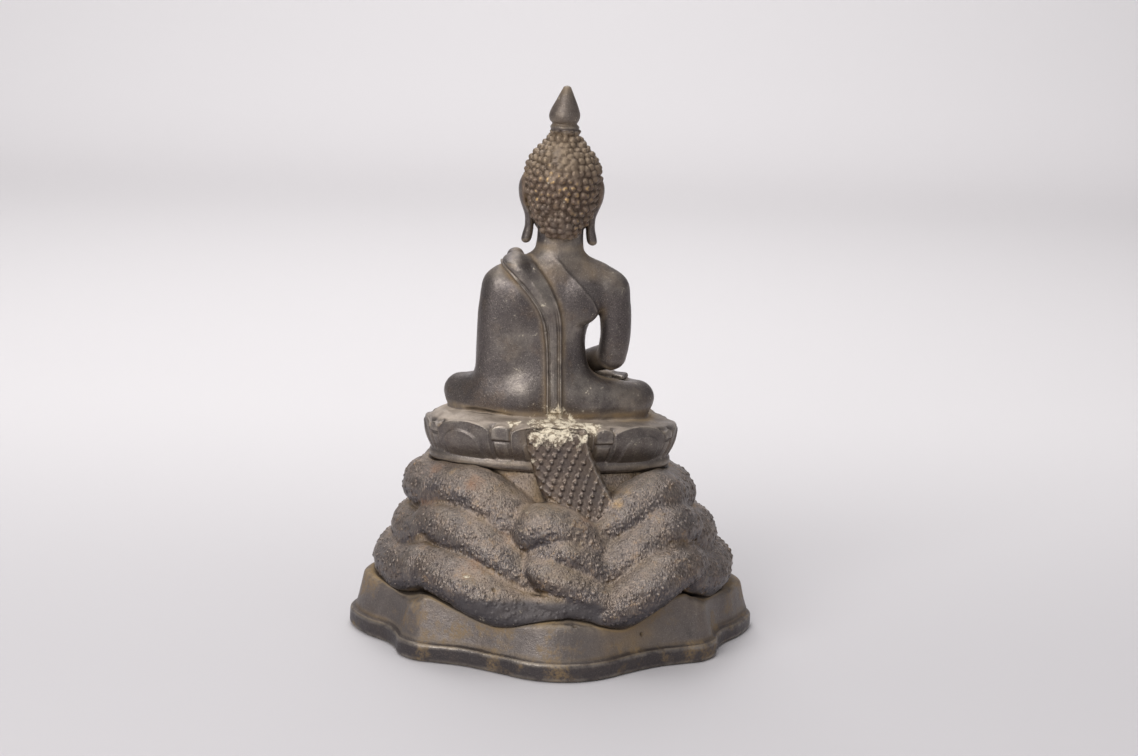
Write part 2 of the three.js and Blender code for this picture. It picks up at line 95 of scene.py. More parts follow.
def smoothCurve(stops, count):
    # a curve through rows of numbers, evenly stepped from stop to stop
    rows = np.array(stops, float)
    padded = np.vstack([2 * rows[0] - rows[1], rows, 2 * rows[-1] - rows[-2]])
    t = np.linspace(0, len(rows) - 1, count + 1)
    at = np.minimum(t.astype(int), len(rows) - 2)
    t = (t - at)[:, None]
    a, b, c, d = (padded[at + n] for n in range(4))
    return 0.5 * (2 * b + (c - a) * t + (2 * a - 5 * b + 4 * c - d) * t**2 + (3 * b - a - 3 * c + d) * t**3)


def lookUp(stops):
    # the second column of a table as a smooth function of the first
    rows = smoothCurve(stops, 200)
    return lambda value: np.interp(value, rows[:, 0], rows[:, 1])


def loft(stops):
    # ovals stacked along z, through stops of z, centre x, centre y, half width, depth behind,
    # depth before and squareness
    rows = smoothCurve(stops, 200)
    slopes = np.gradient(rows, axis=0) / np.maximum(np.gradient(rows[:, 0]), 1e-3)[:, None]
    wide = rows[:, 3].max() + np.abs(rows[:, 1]).max()
    deep = max(rows[:, 4].max(), rows[:, 5].max()) + np.abs(rows[:, 2]).max()
    low = np.array([-wide, -deep, rows[0, 0]])
    high = np.array([wide, deep, rows[-1, 0]])

    def distance(p):
        z = p[:, 2]
        cx, cy, w, back, front, square = (np.interp(z, rows[:, 0], rows[:, n]) for n in range(1, 7))
        wSlope, backSlope, frontSlope = (np.interp(z, rows[:, 0], slopes[:, n]) for n in (3, 4, 5))
        behind = p[:, 1] > cy
        depth = np.where(behind, back, front)
        depthSlope = np.where(behind, backSlope, frontSlope)
        x = np.abs(p[:, 0] - cx) / w
        y = np.abs(p[:, 1] - cy) / depth
        r = squareOval(x, y, square)
        gx = (x / r) ** (square - 1)
        gy = (y / r) ** (square - 1)
        flare = gx * x * wSlope / w + gy * y * depthSlope / depth
        steep = np.sqrt((gx / w) ** 2 + (gy / depth) ** 2 + flare**2)
        side = (r - 1) / np.maximum(steep, 0.3 / np.maximum(w, depth))
        return carve(side, np.maximum(rows[0, 0] - z, z - rows[-1, 0]), 0.8)

    return low, high, distance


def limb(stops, steps=18, flat=None, squash=1.0):
    # a tube through stops of x, y, z, radius; flat is the direction it is pressed thin in
    path = smoothCurve(stops, steps).astype(np.float32)
    radius = path[:, 3].max()
    low = path[:, :3].min(0) - radius
    high = path[:, :3].max(0) + radius
    press = None if flat is None else np.array(flat, np.float32) / np.linalg.norm(flat)

    def distance(p):
        best = np.full(len(p), 1e9, np.float32)
        for a, b in zip(path, path[1:]):
            along = b[:3] - a[:3]
            gap = p - a[:3]
            t = np.clip(gap @ along / max(along @ along, 1e-9), 0, 1)
            gap -= t[:, None] * along
            if press is not None:
                gap += (gap @ press)[:, None] * press * (1 / squash - 1)
            best = np.minimum(best, np.sqrt(np.einsum("ij,ij->i", gap, gap)) - (a[3] + t * (b[3] - a[3])))
        return best if press is None else best * (0.5 + squash / 2)

    return low, high, distance


def ball(centre, radii):
    centre = np.array(centre, np.float32)
    radii = np.array(radii, np.float32)

    def distance(p):
        q = (p - centre) / radii
        k0 = np.sqrt((q**2).sum(1))
        k1 = np.sqrt(((q / radii) ** 2).sum(1))
        return k0 * (k0 - 1) / np.maximum(k1, 1e-6)

    return centre - radii, centre + radii, distance


def mirrored(side, stops, axis=0.0):
    # rows with their x on one side of the axis
    return [(axis + side * x, *rest) for x, *rest in stops]


class Clay:
    # the distance from each point to what has been put on so far
    def __init__(self, points):
        self.points = points
        self.gap = np.full(len(points), 9, np.float32)
        self.low = points.min(0)
        self.high = points.max(0)

    def put(self, shape, soft=1.0):
        low, high, distance = shape
        reach = 6
        if np.any(self.low > high + reach) or np.any(self.high < low - reach):
            return
        at = np.nonzero(np.all((self.points > low - reach) & (self.points < high + reach), axis=1))[0]
        if len(at):
            self.gap[at] = melt(self.gap[at], distance(self.points[at]), soft)


def inChunks(field, points, size=40000):
    # nearby points stay together, so that far shapes are skipped
    order = np.argsort(points[:, 2], kind="stable")
    out = np.empty(len(points))
    for first in range(0, len(points), size):
        part = order[first:first + size]
        out[part] = field(points[part].astype(np.float32))
    return out


def fieldSlope(field, verts, reach):
    # the distance at each point and the direction it grows in, from four samples around it
    total = np.zeros((len(verts), 3))
    mean = np.zeros(len(verts))
    for sign in np.array([[1, 1, 1], [1, -1, -1], [-1, 1, -1], [-1, -1, 1]], float):
        value = inChunks(field, verts + sign * reach)
        total += value[:, None] * sign
        mean += value / 4
    slope = total / (4 * reach)
    length = np.linalg.norm(slope, axis=1)
    slope /= np.maximum(length, 1e-6)[:, None]
    return mean / np.maximum(length, 0.3), slope


def sampleField(field, low, high, step):
    # samples the field in blocks, finely only where the surface passes
    block = 8
    span = step * block
    low = np.floor(low / span - 0.6) * span
    counts = np.ceil((high - low) / span + 0.6).astype(int)
    corner = [low[n] + span * np.arange(counts[n]) for n in range(3)]
    starts = np.stack(np.meshgrid(*corner, indexing="ij"), -1).reshape(-1, 3).astype(np.float32)
    coarse = field(starts + np.float32(span / 2))
    grid = np.where(coarse > 0, np.float32(1), np.float32(-1)).reshape(counts)
    for axis in range(3):
        grid = np.repeat(grid, block, axis=axis)
    cells = np.stack(np.meshgrid(*[np.arange(block)] * 3, indexing="ij"), -1).reshape(-1, 3)
    ids = np.nonzero(np.abs(coarse) < span)[0]
    places = np.stack(np.unravel_index(ids, counts), -1)
    for first in range(0, len(ids), 60):
        chunk = slice(first, first + 60)
        points = (starts[ids[chunk]][:, None] + cells.astype(np.float32) * np.float32(step)).reshape(-1, 3)
        spots = (places[chunk][:, None] * block + cells).reshape(-1, 3)
        grid[spots[:, 0], spots[:, 1], spots[:, 2]] = field(points)
    return low, grid


def netSurface(field, low, high, step):
    # nets the zero level of the field with quads, a point in each cell that it crosses
    low, grid = sampleField(field, low, high, step)
    inside = grid < 0
    sides = [slice(None, -1), slice(1, None)]
    corners = [(a, b, c) for a in (0, 1) for b in (0, 1) for c in (0, 1)]
    filled = sum(inside[sides[a], sides[b], sides[c]].astype(np.uint8) for a, b, c in corners)
    cell = np.nonzero((filled > 0) & (filled < 8))
    number = np.full(filled.shape, -1, np.int32)
    number[cell] = np.arange(len(cell[0]))
    values = np.stack([grid[cell[0] + a, cell[1] + b, cell[2] + c] for a, b, c in corners], 1)
    total = np.zeros((len(values), 3))
    weight = np.zeros(len(values))
    for i, u in enumerate(corners):
        for j, v in enumerate(corners):
            if i < j and sum(abs(m - n) for m, n in zip(u, v)) == 1:
                crossed = (values[:, i] < 0) != (values[:, j] < 0)
                t = values[crossed, i] / (values[crossed, i] - values[crossed, j])
                total[crossed] += np.array(u) + t[:, None] * (np.array(v) - np.array(u))
                weight[crossed] += 1
    verts = low + step * (np.stack(cell, 1) + total / weight[:, None])
    quads = []
    for axis in range(3):
        here = [slice(1, -1)] * 3
        here[axis] = slice(0, -1)
        there = list(here)
        there[axis] = slice(1, None)
        spot = np.stack(np.nonzero(inside[tuple(here)] != inside[tuple(there)]), 1)
        b, c = [n for n in range(3) if n != axis]
        spot[:, [b, c]] += 1
        ring = []
        for db, dc in ((-1, -1), (0, -1), (0, 0), (-1, 0)):
            q = spot.copy()
            q[:, b] += db
            q[:, c] += dc
            ring.append(number[q[:, 0], q[:, 1], q[:, 2]])
        ring = np.stack(ring, 1)
        outward = inside[spot[:, 0], spot[:, 1], spot[:, 2]]
        flip = outward if axis == 1 else ~outward
        ring[flip] = ring[flip][:, ::-1]
        quads.append(ring)
    # settle the net onto the field's zero level
    for _ in range(2):
        gap, slope = fieldSlope(field, verts, step * 0.5)
        verts -= np.clip(gap, -step, step)[:, None] * slope
    return verts, np.vstack(quads)


def vertexNormals(verts, quads):
    a, b, c, d = (verts[quads[:, n]] for n in range(4))
    face = np.cross(c - a, d - b)
    normals = np.zeros_like(verts)
    for n in range(4):
        for axis in range(3):
            normals[:, axis] += np.bincount(quads[:, n], face[:, axis], len(verts))
    return normals / np.maximum(np.linalg.norm(normals, axis=1), 1e-9)[:, None]


def treeOf(centres):
    tree = KDTree(len(centres))
    for n, centre in enumerate(centres):
        tree.insert(centre, n)
    tree.balance()
    return tree


def bumps(verts, centres, sizes, height, moat=0.0, point=0.75):
    # raised spots round the nearest centre, each with its own radius; a moat is a shallow ring about it
    tree = treeOf(centres)
    lift = np.zeros(len(verts))
    widest = sizes.max()
    for n, vert in enumerate(verts):
        found = tree.find(vert)
        if found[2] < widest * 1.5:
            r = found[2] / sizes[found[1]]
            if r < 1:
                lift[n] = height * (sizes[found[1]] / widest) * (1 - r * r) ** point
            elif moat:
                lift[n] = -moat * max(0.0, 1 - abs(r - 1.2) / 0.3)
    return lift


def waves(p, scale, seed, share=(1.0, 1.0, 1.0)):
    # a gentle unevenness from -1 to 1, crossed sine waves about as long as scale
    rng = np.random.default_rng(seed)
    total = np.zeros(len(p))
    for _ in range(6):
        direction = rng.normal(size=3) * share
        direction *= 2 * math.pi / (scale * np.linalg.norm(direction)) * rng.uniform(0.7, 1.4)
        total += np.sin(p @ direction + rng.uniform(0, 6.3))
    return total / 3.2


def blobs(p, spots):
    # soft spots of x, y, z, radius, 1 at their centres
    total = np.zeros(len(p))
    for x, y, z, radius in spots:
        away = ((p - (x, y, z)) ** 2).sum(1) / radius**2
        total = np.maximum(total, np.exp(-away))
    return total


def addObject(name, data):
    made = bpy.data.objects.new(name, data)
    bpy.context.scene.collection.objects.link(made)
    return made


def makePiece(name, verts, quads, budget):
    mesh = bpy.data.meshes.new(name)
    mesh.from_pydata((verts * mm).tolist(), [], quads.tolist())
    piece = addObject(name, mesh)
    fewer = piece.modifiers.new("fewer", "DECIMATE")
    fewer.ratio = min(1.0, budget / (2 * len(quads)))
    depsgraph = bpy.context.evaluated_depsgraph_get()
    light = bpy.data.meshes.new_from_object(piece.evaluated_get(depsgraph))
    piece.modifiers.clear()
    piece.data = light
    bpy.data.meshes.remove(mesh)
    light.name = name
    light.polygons.foreach_set("use_smooth", np.ones(len(light.polygons), bool))
    return piece


def meshArrays(mesh):
    co = np.empty(len(mesh.vertices) * 3)
    mesh.vertices.foreach_get("co", co)
    normal = np.empty(len(mesh.vertices) * 3, np.float32)
    mesh.vertex_normals.foreach_get("vector", normal)
    edges = np.empty(len(mesh.edges) * 2, np.int32)
    mesh.edges.foreach_get("vertices", edges)
    return co.reshape(-1, 3) / mm, normal.reshape(-1, 3).astype(float), edges.reshape(-1, 2)


def neighbourMean(values, edges):
    count = len(values)
    joined = np.bincount(edges[:, 0], minlength=count) + np.bincount(edges[:, 1], minlength=count)
    out = np.empty_like(values)
    first, second = edges.T
    for axis in range(values.shape[1]):
        total = np.bincount(first, values[second, axis], count)
        total += np.bincount(second, values[first, axis], count)
        out[:, axis] = total / np.maximum(joined, 1)
    return out


def writeMaps(piece, maps):
    for name, values in maps.items():
        attribute = piece.data.attributes.new(name, "FLOAT", "POINT")
        attribute.data.foreach_set("value", values.astype(np.float32))


def weatherMaps(piece, field):
    # recess says how closed in each point is, edge how much it stands out, up how level it lies
    co, normal, edges = meshArrays(piece.data)
    closed = np.zeros(len(co))
    for reach, share in ((1.2, 0.3), (3.0, 0.35), (7.0, 0.35)):
        room = inChunks(field, co + normal * reach)
        closed += share * np.clip(1 - room / reach, 0, 1.5)
    soft = co
    for _ in range(4):
        soft = neighbourMean(soft, edges)
    stand = neighbourMean(((co - soft) * normal).sum(1)[:, None], edges)[:, 0]
    writeMaps(piece, {
        "recess": np.clip(closed, 0, 1),
        "edge": np.clip(stand * 5, -1, 1),
        "up": normal[:, 2],
    })
    return co, normal


# plinth

plinthShape = {
    "halfWidth": 102.0,
    "halfDepth": 87.0,
    "turn": 2.5,  # degrees
    "height": plinthHigh[2],
    "rimHeight": 9.3,
    "rimStep": 2.4,
    "rimSag": 1.6,
    "wallLean": 4.6,
    "edgeRound": 2.0,
    "topRound": 2.4,
    # a shallow dent runs up beside one corner
    "dentX": -66,
    "dentWidth": 2.4,
    "dentDepth": 0.8,
}
# a quarter of its plan, in shares of the half width and half depth
planQuarter = [
    (0, 1), (0.1, 0.985), (0.2, 0.937), (0.313, 0.85), (0.46, 0.748), (0.6, 0.69), (0.69, 0.655),
    (0.76, 0.57), (0.782, 0.46), (0.828, 0.355), (0.91, 0.245), (0.975, 0.12), (1, 0),
]
# height of the wall's upper edge along x; it rises at the lobes' corners
plinthEdge = lookUp([
    (-104, 24.2), (-92, 24.8), (-86, 24.6), (-75, 26.6), (-70.5, 28.6), (-67, 31.6), (-62, 33),
    (-57, 32.2), (-51.7, 29), (-45.6, 25.8), (-38, 23), (-28, 22.8), (-16, 25), (-4, 26.4), (6, 26.3),
    (15, 25), (27, 22.9), (36.5, 23.4), (46, 25.9), (55.7, 29.6), (60.6, 31), (64.2, 30.3), (68, 27),
    (74.5, 25.6), (80, 27.2), (88, 28.4), (104, 27.6),
])
turned = math.radians(plinthShape["turn"])


def planDistance():
    # signed distance to the plan, worked out once on a flat grid and read from it afterwards
    quarter = np.array(planQuarter)
    rounds = []
    for sx, sy in ((1, 1), (1, -1), (-1, -1), (-1, 1)):
        run = quarter if sx * sy > 0 else quarter[::-1]
        rounds.append(run[:-1] * (sx * plinthShape["halfWidth"], sy * plinthShape["halfDepth"]))
    stops = np.vstack(rounds)
    # a few stops more at both ends keep the curve smooth where it closes
    looped = np.vstack([stops[-3:], stops, stops[:4]])
    plan = smoothCurve(looped, (len(looped) - 1) * 6)[18:-18]
    cell = 1.0
    xs = np.arange(-118, 118 + cell, cell)
    ys = np.arange(-102, 102 + cell, cell)
    p = np.stack(np.meshgrid(xs, ys, indexing="ij"), -1).reshape(-1, 2)
    best = np.full(len(p), 1e9)
    inside = np.zeros(len(p), bool)
    for a, b in zip(plan, plan[1:]):
        along = b - a
        gap = p - a
        t = np.clip(gap @ along / (along @ along), 0, 1)
        best = np.minimum(best, ((gap - t[:, None] * along) ** 2).sum(1))
        crosses = (a[1] > p[:, 1]) != (b[1] > p[:, 1])
        if a[1] != b[1]:
            inside ^= crosses & (p[:, 0] < (b[0] - a[0]) * (p[:, 1] - a[1]) / (b[1] - a[1]) + a[0])
    flat = (np.where(inside, -1, 1) * np.sqrt(best)).reshape(len(xs), len(ys))

    def distance(x, y):
        fx = np.clip((x - xs[0]) / cell, 0, len(xs) - 1.001)
        fy = np.clip((y - ys[0]) / cell, 0, len(ys) - 1.001)
        ix = fx.astype(int)
        iy = fy.astype(int)
        tx = fx - ix
        ty = fy - iy
        return ((flat[ix, iy] * (1 - tx) + flat[ix + 1, iy] * tx) * (1 - ty)
                + (flat[ix, iy + 1] * (1 - tx) + flat[ix + 1, iy + 1] * tx) * ty)

    return distance


planAt = planDistance()


def plinthField(p):
    s = plinthShape
    x, y, z = p.T
    cos = math.cos(turned)
    sin = math.sin(turned)
    plan = planAt(x * cos + y * sin, y * cos - x * sin)
    uneven = 0.25 * waves(p, 26, 3) + 0.08 * waves(p, 7, 4)
    rise = np.clip((z - s["rimHeight"]) / (s["height"] - s["rimHeight"]), 0, 1.3)
    # the wall flares out a little just over the rim
    wall = plan + s["rimStep"] + s["wallLean"] * rise**0.8
    edge = plinthEdge(x)
    rimTop = s["rimHeight"] - s["rimSag"] * ease((-x - 70) / 25)
    level = edge + (s["height"] - edge) * ease((-wall - 1.5) / 8)
    rim = carve(plan + 0.5 * uneven, np.maximum(z - rimTop - 0.6 * uneven, -z), s["edgeRound"])
    body = carve(wall + uneven, np.maximum((z - level) * 0.94 - 0.3 * uneven, -z), s["topRound"])
    body = body + s["dentDepth"] * bell((x - s["dentX"]) / s["dentWidth"]) * (y > 0) * ease((z - 10) / 6)
    return melt(rim, body, 1.0)


# lotus seat, drawn level about its middle and tilted a little

seatShape = {
    "offset": 3.3,
    "middle": seatLow[2] + 10.4,
    "tilt": 0.7,  # degrees, down to the figure's right
    "floor": seatLow[2],
    "halfWidth": 62.6,
    "back": 31.0,
    "front": 37.0,
    "square": 2.15,
    "rim": 24.6,
    "endFall": 4.2,  # how much lower the rim is at the sides
    "platform": 0.2,
    "platformTilt": 0.022,
    "ledge": 9.0,
    "petals": 8,
    "broadHalf": 17.8,  # degrees
    "smallHalf": 4.9,
    "archDrop": 5.6,
    "innerShare": 0.68,
    "innerBelow": 5.6,
    "innerDrop": 8,
}
seatInset = lookUp([
    (-3, 3.4), (0, 3.0), (1.2, 2.4), (3, 2.4), (4.2, 2.9), (5.2, 3.6), (6.6, 3.2), (9, 2.0), (12, 0.9),
    (15, 0.3), (19, 0.1), (23, 0.3), (25, 0.8), (29, 1),
])
seatTilt = math.radians(seatShape["tilt"])


def toSeat(p):
    x = p[:, 0] - seatShape["offset"]
    z = p[:, 2] - seatShape["middle"]
    along = x * math.cos(seatTilt) + z * math.sin(seatTilt)
    up = z * math.cos(seatTilt) - x * math.sin(seatTilt)
    return along, p[:, 1], up + seatShape["middle"] - seatShape["floor"]


def seatRing(x, y):
    # distance outside the seat's oval plan, and the place round it
    s = seatShape
    x = x / s["halfWidth"]
    depth = np.where(y > 0, s["back"], s["front"])
    y = y / depth
    n = s["square"]
    ax = np.abs(x)
    ay = np.abs(y)
    r = squareOval(ax, ay, n)
    steep = np.sqrt(((ax / r) ** (n - 1) / s["halfWidth"]) ** 2 + ((ay / r) ** (n - 1) / depth) ** 2)
    turn = np.degrees(np.arctan2(np.sign(y) * ay ** (n / 2), np.sign(x) * ax ** (n / 2)))
    return (r - 1) / np.maximum(steep, 0.006), turn


def seatShell(p):
    x, y, z = toSeat(p)
    ring, _ = seatRing(x, y)
    return np.maximum(ring + seatInset(z), -z)


def arch(u, drop, power=2.2):
    return drop * (1 - np.sqrt(np.clip(1 - np.minimum(np.abs(u), 1) ** power, 0, 1)))


def petalRelief(turn, z):
    s = seatShape
    pitch = 360 / s["petals"]
    away = np.abs((turn - 90 + pitch / 2) % pitch - pitch / 2)
    millis = 0.9  # of the ring, to a degree
    u = away / s["broadHalf"]
    top = s["rim"] - arch(u, s["archDrop"])
    inward = np.minimum((s["broadHalf"] - away) * millis, (top - z) * 0.85)
    body = ease(inward / 0.9)
    lip = bell((inward - 0.7) / 0.42)
    ui = away / (s["broadHalf"] * s["innerShare"])
    innerTop = s["rim"] - s["innerBelow"] - arch(ui, s["innerDrop"], 2)
    inner = np.minimum((1 - ui) * s["broadHalf"] * s["innerShare"] * millis, (innerTop - z) * 0.85)
    face = ease(inner / 0.7) * 0.55 + 0.22 * bell((inner - 0.5) / 0.4)
    small = np.abs(away - pitch / 2)
    knobTop = s["rim"] - 1.4 - arch(small / (s["smallHalf"] + 0.5), 4.2, 2)
    knob = ease(np.minimum((s["smallHalf"] + 0.1 - small) * millis, z - 15) / 0.9)
    knob *= ease((knobTop + 0.8 - z) / 1.6)
    stem = ease(np.minimum((s["smallHalf"] - 0.9 - small) * millis, 14.6 - z) / 0.8)
    low = ease((z - 4.6) / 1.4)
    relief = low * (body * (0.9 + 0.6 * lip + face) - 0.6)
    relief += low * (1 - body) * (knob * 1.15 + stem * 0.6)
    # between the petals the rim is notched
    notch = np.minimum(s["rim"] - 5.0, knobTop)
    crown = np.maximum(np.where(u < 1, top, notch), np.where(small < s["smallHalf"], knobTop, notch))
    return relief, crown


def seatField(p):
    s = seatShape
    x, y, z = toSeat(p)
    ring, turn = seatRing(x, y)
    relief, crown = petalRelief(turn, z)
    side = ring + seatInset(z) - relief
    inward = np.clip(-ring, 0, None)
    within = ease((inward - 0.8) / s["ledge"])
    slope = s["rim"] - 0.6 + (s["platform"] + 0.6 + s["platformTilt"] * x) * within
    level = crown + (slope - crown) * ease((inward - 0.8) / 2.6)
    level = level - s["endFall"] * (x / s["halfWidth"]) ** 4 + 0.25 * waves(p, 9, 14) * ease(inward / 3)
    return carve(side, np.maximum((z - level) * 0.85, -z), 0.6)


# naga coils and neck

coilShape = {
    "floor": 20.0,
    "flatTop": seatLow[2] - 0.3,
    "front": 0.86,
    "radius": 10.8,
    # each tier from the top: offset, half width, half depth, height at the side, rise to the kinks,
    # fall between them, and the kinks' place in degrees
    "tiers": [
        (3.0, 62.8, 39.5, 45.0, 2.5, 14.0, 30),
        (0.0, 71.2, 53.0, 22.8, 8.5, 15.5, 33),
        (0.0, 79.8, 66.5, 7.0, 8.0, 13.0, 38),
    ],
    "lap": 3.0,
    "rightDrop": 2.2,
    "studPitch": 3.5,
    "studHeight": 0.6,
    "studShare": 0.7,
    "studSize": (0.7, 1.15),
    "webInward": 5.0,
    "webWider": 2.8,
}
# the strands behind, as x, y, z, radius, from each side down to the middle
backStrands = [
    [
        (58, 16, 74.6, 8.8), (52.8, 24, 75.2, 10.2), (43.5, 30, 75.2, 10.4), (33.5, 36, 70.6, 10.2),
        (23.7, 40, 65, 10), (13, 43, 57, 9.4),
    ],
    [
        (60, 27, 60.6, 8.8), (55.3, 34, 60.4, 10.2), (46.2, 42, 57.8, 10.2), (36.3, 48, 53.2, 10),
        (28.2, 52, 48.2, 9.8), (20, 55, 42.6, 9.4), (9, 57, 37, 8.6),
    ],
    [
        (64, 38, 41.6, 8.4), (58.5, 46, 40.8, 9.6), (50.4, 55, 39.4, 9.8), (42.2, 61, 36.4, 9.6),
        (34.1, 65, 32.6, 9.2), (23, 68, 29, 8), (10, 69, 28, 6),
    ],
    [
        (-58, 18, 73.8, 8.4), (-53.6, 29, 76.2, 9.6), (-48.3, 35, 75.4, 10), (-38.4, 40, 71, 9.8),
        (-28.8, 43, 65, 9.6), (-19, 44, 59, 9),
    ],
    [
        (-63, 32, 62, 8.6), (-57.4, 41, 64.6, 9.8), (-51.4, 46, 61, 10), (-41.6, 51, 54.4, 9.8),
        (-32, 54, 48.2, 9.4), (-21, 56, 41.5, 8.2),
    ],
    [
        (-66, 42, 46, 8.2), (-60.4, 53, 48.4, 9.6), (-52.6, 60, 45, 9.8), (-44.6, 64, 39, 9.6),
        (-32.8, 66, 31.6, 9), (-21, 68, 27.5, 6.6),
    ],
    [
        (15.4, 47, 57.5, 7.6), (12.4, 50, 62, 9), (6.2, 51.5, 64.6, 9.4), (-4.4, 52, 62.2, 9.2),
        (-14.2, 51, 57.2, 9), (-22, 49, 50.5, 8.4),
    ],
    [
        (8.6, 54, 50.6, 7.2), (-1.9, 57, 54.6, 8), (-8.4, 58, 52, 8.2), (-17.5, 57, 46.6, 8.2),
        (-25.2, 55, 40, 7.8),
    ],
    [
        (14.4, 59, 47.4, 2.6), (9.6, 61.6, 46.4, 5.8), (3, 64, 43.8, 8), (-4, 65, 40.4, 8.7),
        (-12.7, 65.4, 36.4, 8.8), (-23.3, 66, 31.2, 8.4), (-32, 66, 28, 6.4),
    ],
    [
        (14.4, 68.6, 32.6, 3.4), (5.6, 70.6, 33.2, 4.6), (-1.5, 71, 32, 4.8), (-12.7, 71, 29.6, 4.4),
        (-22, 70, 27, 3),
    ],
    [
        (42, 67.4, 30, 2.6), (31.6, 70.6, 28.4, 3.2), (21.1, 72.4, 27.2, 3.5), (9.3, 73.4, 27.4, 3.4),
        (-1.5, 73.4, 29, 2.8),
    ],
]


def tierPoint(tier, degrees):
    offset, halfWidth, halfDepth, level, rise, fall, kink = tier
    c = math.cos(math.radians(degrees))
    s = math.sin(math.radians(degrees))
    kinkX = math.cos(math.radians(kink))
    toMiddle = max(0.0, (kinkX - abs(c)) / kinkX)
    toSide = max(0.0, (abs(c) - kinkX) / (1 - kinkX))
    dip = rise * math.sin(min(1.0, toSide * 1.4) * math.pi / 2)
    # the top tier sags a little at the figure's right
    sag = coilShape["rightDrop"] * max(0, -c) if level > 40 else 0
    depth = halfDepth * (1 if s > 0 else coilShape["front"])
    height = plinthHigh[2] + level + rise - fall * toMiddle - dip - sag
    return [offset + halfWidth * c, depth * s, height, coilShape["radius"]]


def coilStrands():
    strands = []
    for tier in coilShape["tiers"]:
        kink = tier[6]
        runs = [(4 - kink, kink - 4, 0), (184 - kink, 176 + kink, 0), (180 + kink, 360 - kink, -1)]
        for start, end, lap in runs:
            stops = [tierPoint(tier, start + (end - start) * n / 6) for n in range(7)]
            stops[0][1] += lap * coilShape["lap"]
            strands.append(stops)
    return strands + backStrands


neckShape = {
    "thickness": 6.2,
    "backing": 9.0,
    "square": 2.8,
    "low": 57.0,
    "high": 109.4,
    "studRow": 3.15,
    "studStep": 5.1,
    "studHeight": 1.1,
    "studSize": (1.1, 1.45),
    "lattice": 0.32,
    "border": 0.55,
}
neckX = lookUp([
    (50, -28), (57, -24.6), (64, -19.8), (71, -14.6), (78, -9.9), (84, -6.6), (90, -3.8), (96, -1.4),
    (102, 0.5), (112, 2),
])
neckHalf = lookUp([(50, 16.6), (64, 16.6), (74, 17), (82, 16.8), (92, 15.8), (100, 15.1), (112, 14.9)])
neckY = lookUp([(50, 46), (57, 45), (64, 43.6), (71, 42), (84, 39.2), (96, 37.6), (112, 37)])


def neckField(p):
    s = neckShape
    z = p[:, 2]
    half = neckHalf(z)
    x = (p[:, 0] - neckX(z)) / half
    behind = p[:, 1] - neckY(z)
    depth = np.where(behind > 0, s["thickness"], s["backing"])
    out = squareOval(np.abs(x), np.abs(behind / depth), s["square"]) - 1
    side = out * np.minimum(depth, half) * 0.9
    # a fine raised border along the right edge, and a torn top
    border = s["border"] * bell((x + 0.93) / 0.045) * (behind > 0) * ease((z - 70) / 6)
    torn = 0.9 * waves(p, 9, 11, (1, 1, 0.2)) + 0.5 * waves(p, 3.4, 12, (1, 1, 0.2))
    return carve(side - border, np.maximum(z - s["high"] - torn, s["low"] - z), 0.7)


def coreLoft():
    top, middle, bottom = coilShape["tiers"]
    z = plinthHigh[2]

    def row(height, tier, less):
        return height, tier[0], 0, tier[1] - less, tier[2] - less, tier[2] * coilShape["front"] - less, 2

    return loft([
        row(z - 9, bottom, 1), row(z, bottom, -1), row(z + bottom[3], bottom, 0),
        row(z + middle[3], middle, 0), row(z + top[3], top, 3),
        (coilShape["flatTop"] - 2, 0, 0, 54, 28, 28, 2), (coilShape["flatTop"] + 3, 0, 0, 54, 27, 27, 2),
    ])


def webOf(stops):
    # a wider strand further in, which fills the creases beside the outer one
    web = []
    for x, y, z, radius in stops:
        away = math.hypot(x, y)
        keep = 1 - coilShape["webInward"] / away
        web.append((x * keep, y * keep, z, radius + coilShape["webWider"]))
    return web


strandClay = [limb(stops, 30) for stops in coilStrands()]
webClay = [limb(webOf(stops), 12) for stops in coilStrands() if stops[2][3] > 7]
coilCore = coreLoft()


def nagaField(p):
    clay = Clay(p)
    clay.put(coilCore, 1)
    for shape in webClay:
        clay.put(shape, 2)
    for shape in strandClay:
        clay.put(shape, 1.9)
    gap = clay.gap
    if clay.high[2] > 50 and clay.high[1] > 15:
        gap = melt(gap, neckField(p), 1.0)
    gap = np.maximum(gap, coilShape["floor"] - p[:, 2])
    low = np.nonzero(p[:, 2] < 38)[0]
    if len(low):
        gap[low] = np.maximum(gap[low], 0.3 - plinthField(p[low]))
    high = np.nonzero(p[:, 2] > 78)[0]
    if len(high):
        gap[high] = np.maximum(gap[high], 0.3 - seatShell(p[high]))
    return gap


# buddha, drawn upright on z = 0 and set on the seat with a slight lean

figureShape = {
    "foot": np.array([4.1, 0, seatLow[2] + 26.4]),
    "lean": 1.1,  # degrees, to the figure's right
    "hairTop": 138.6,
    "curlPitch": 3.7,
    "curlRadius": 2.15,
    "curlSpread": (0.78, 1.12),
    "curlHeight": 2.1,
}
leaning = math.radians(figureShape["lean"])
upright = np.array([
    [math.cos(leaning), 0, math.sin(leaning)],
    [0, 1, 0],
    [-math.sin(leaning), 0, math.cos(leaning)],
])


def toFigure(p):
    return ((p - figureShape["foot"]) @ upright.T).astype(np.float32)


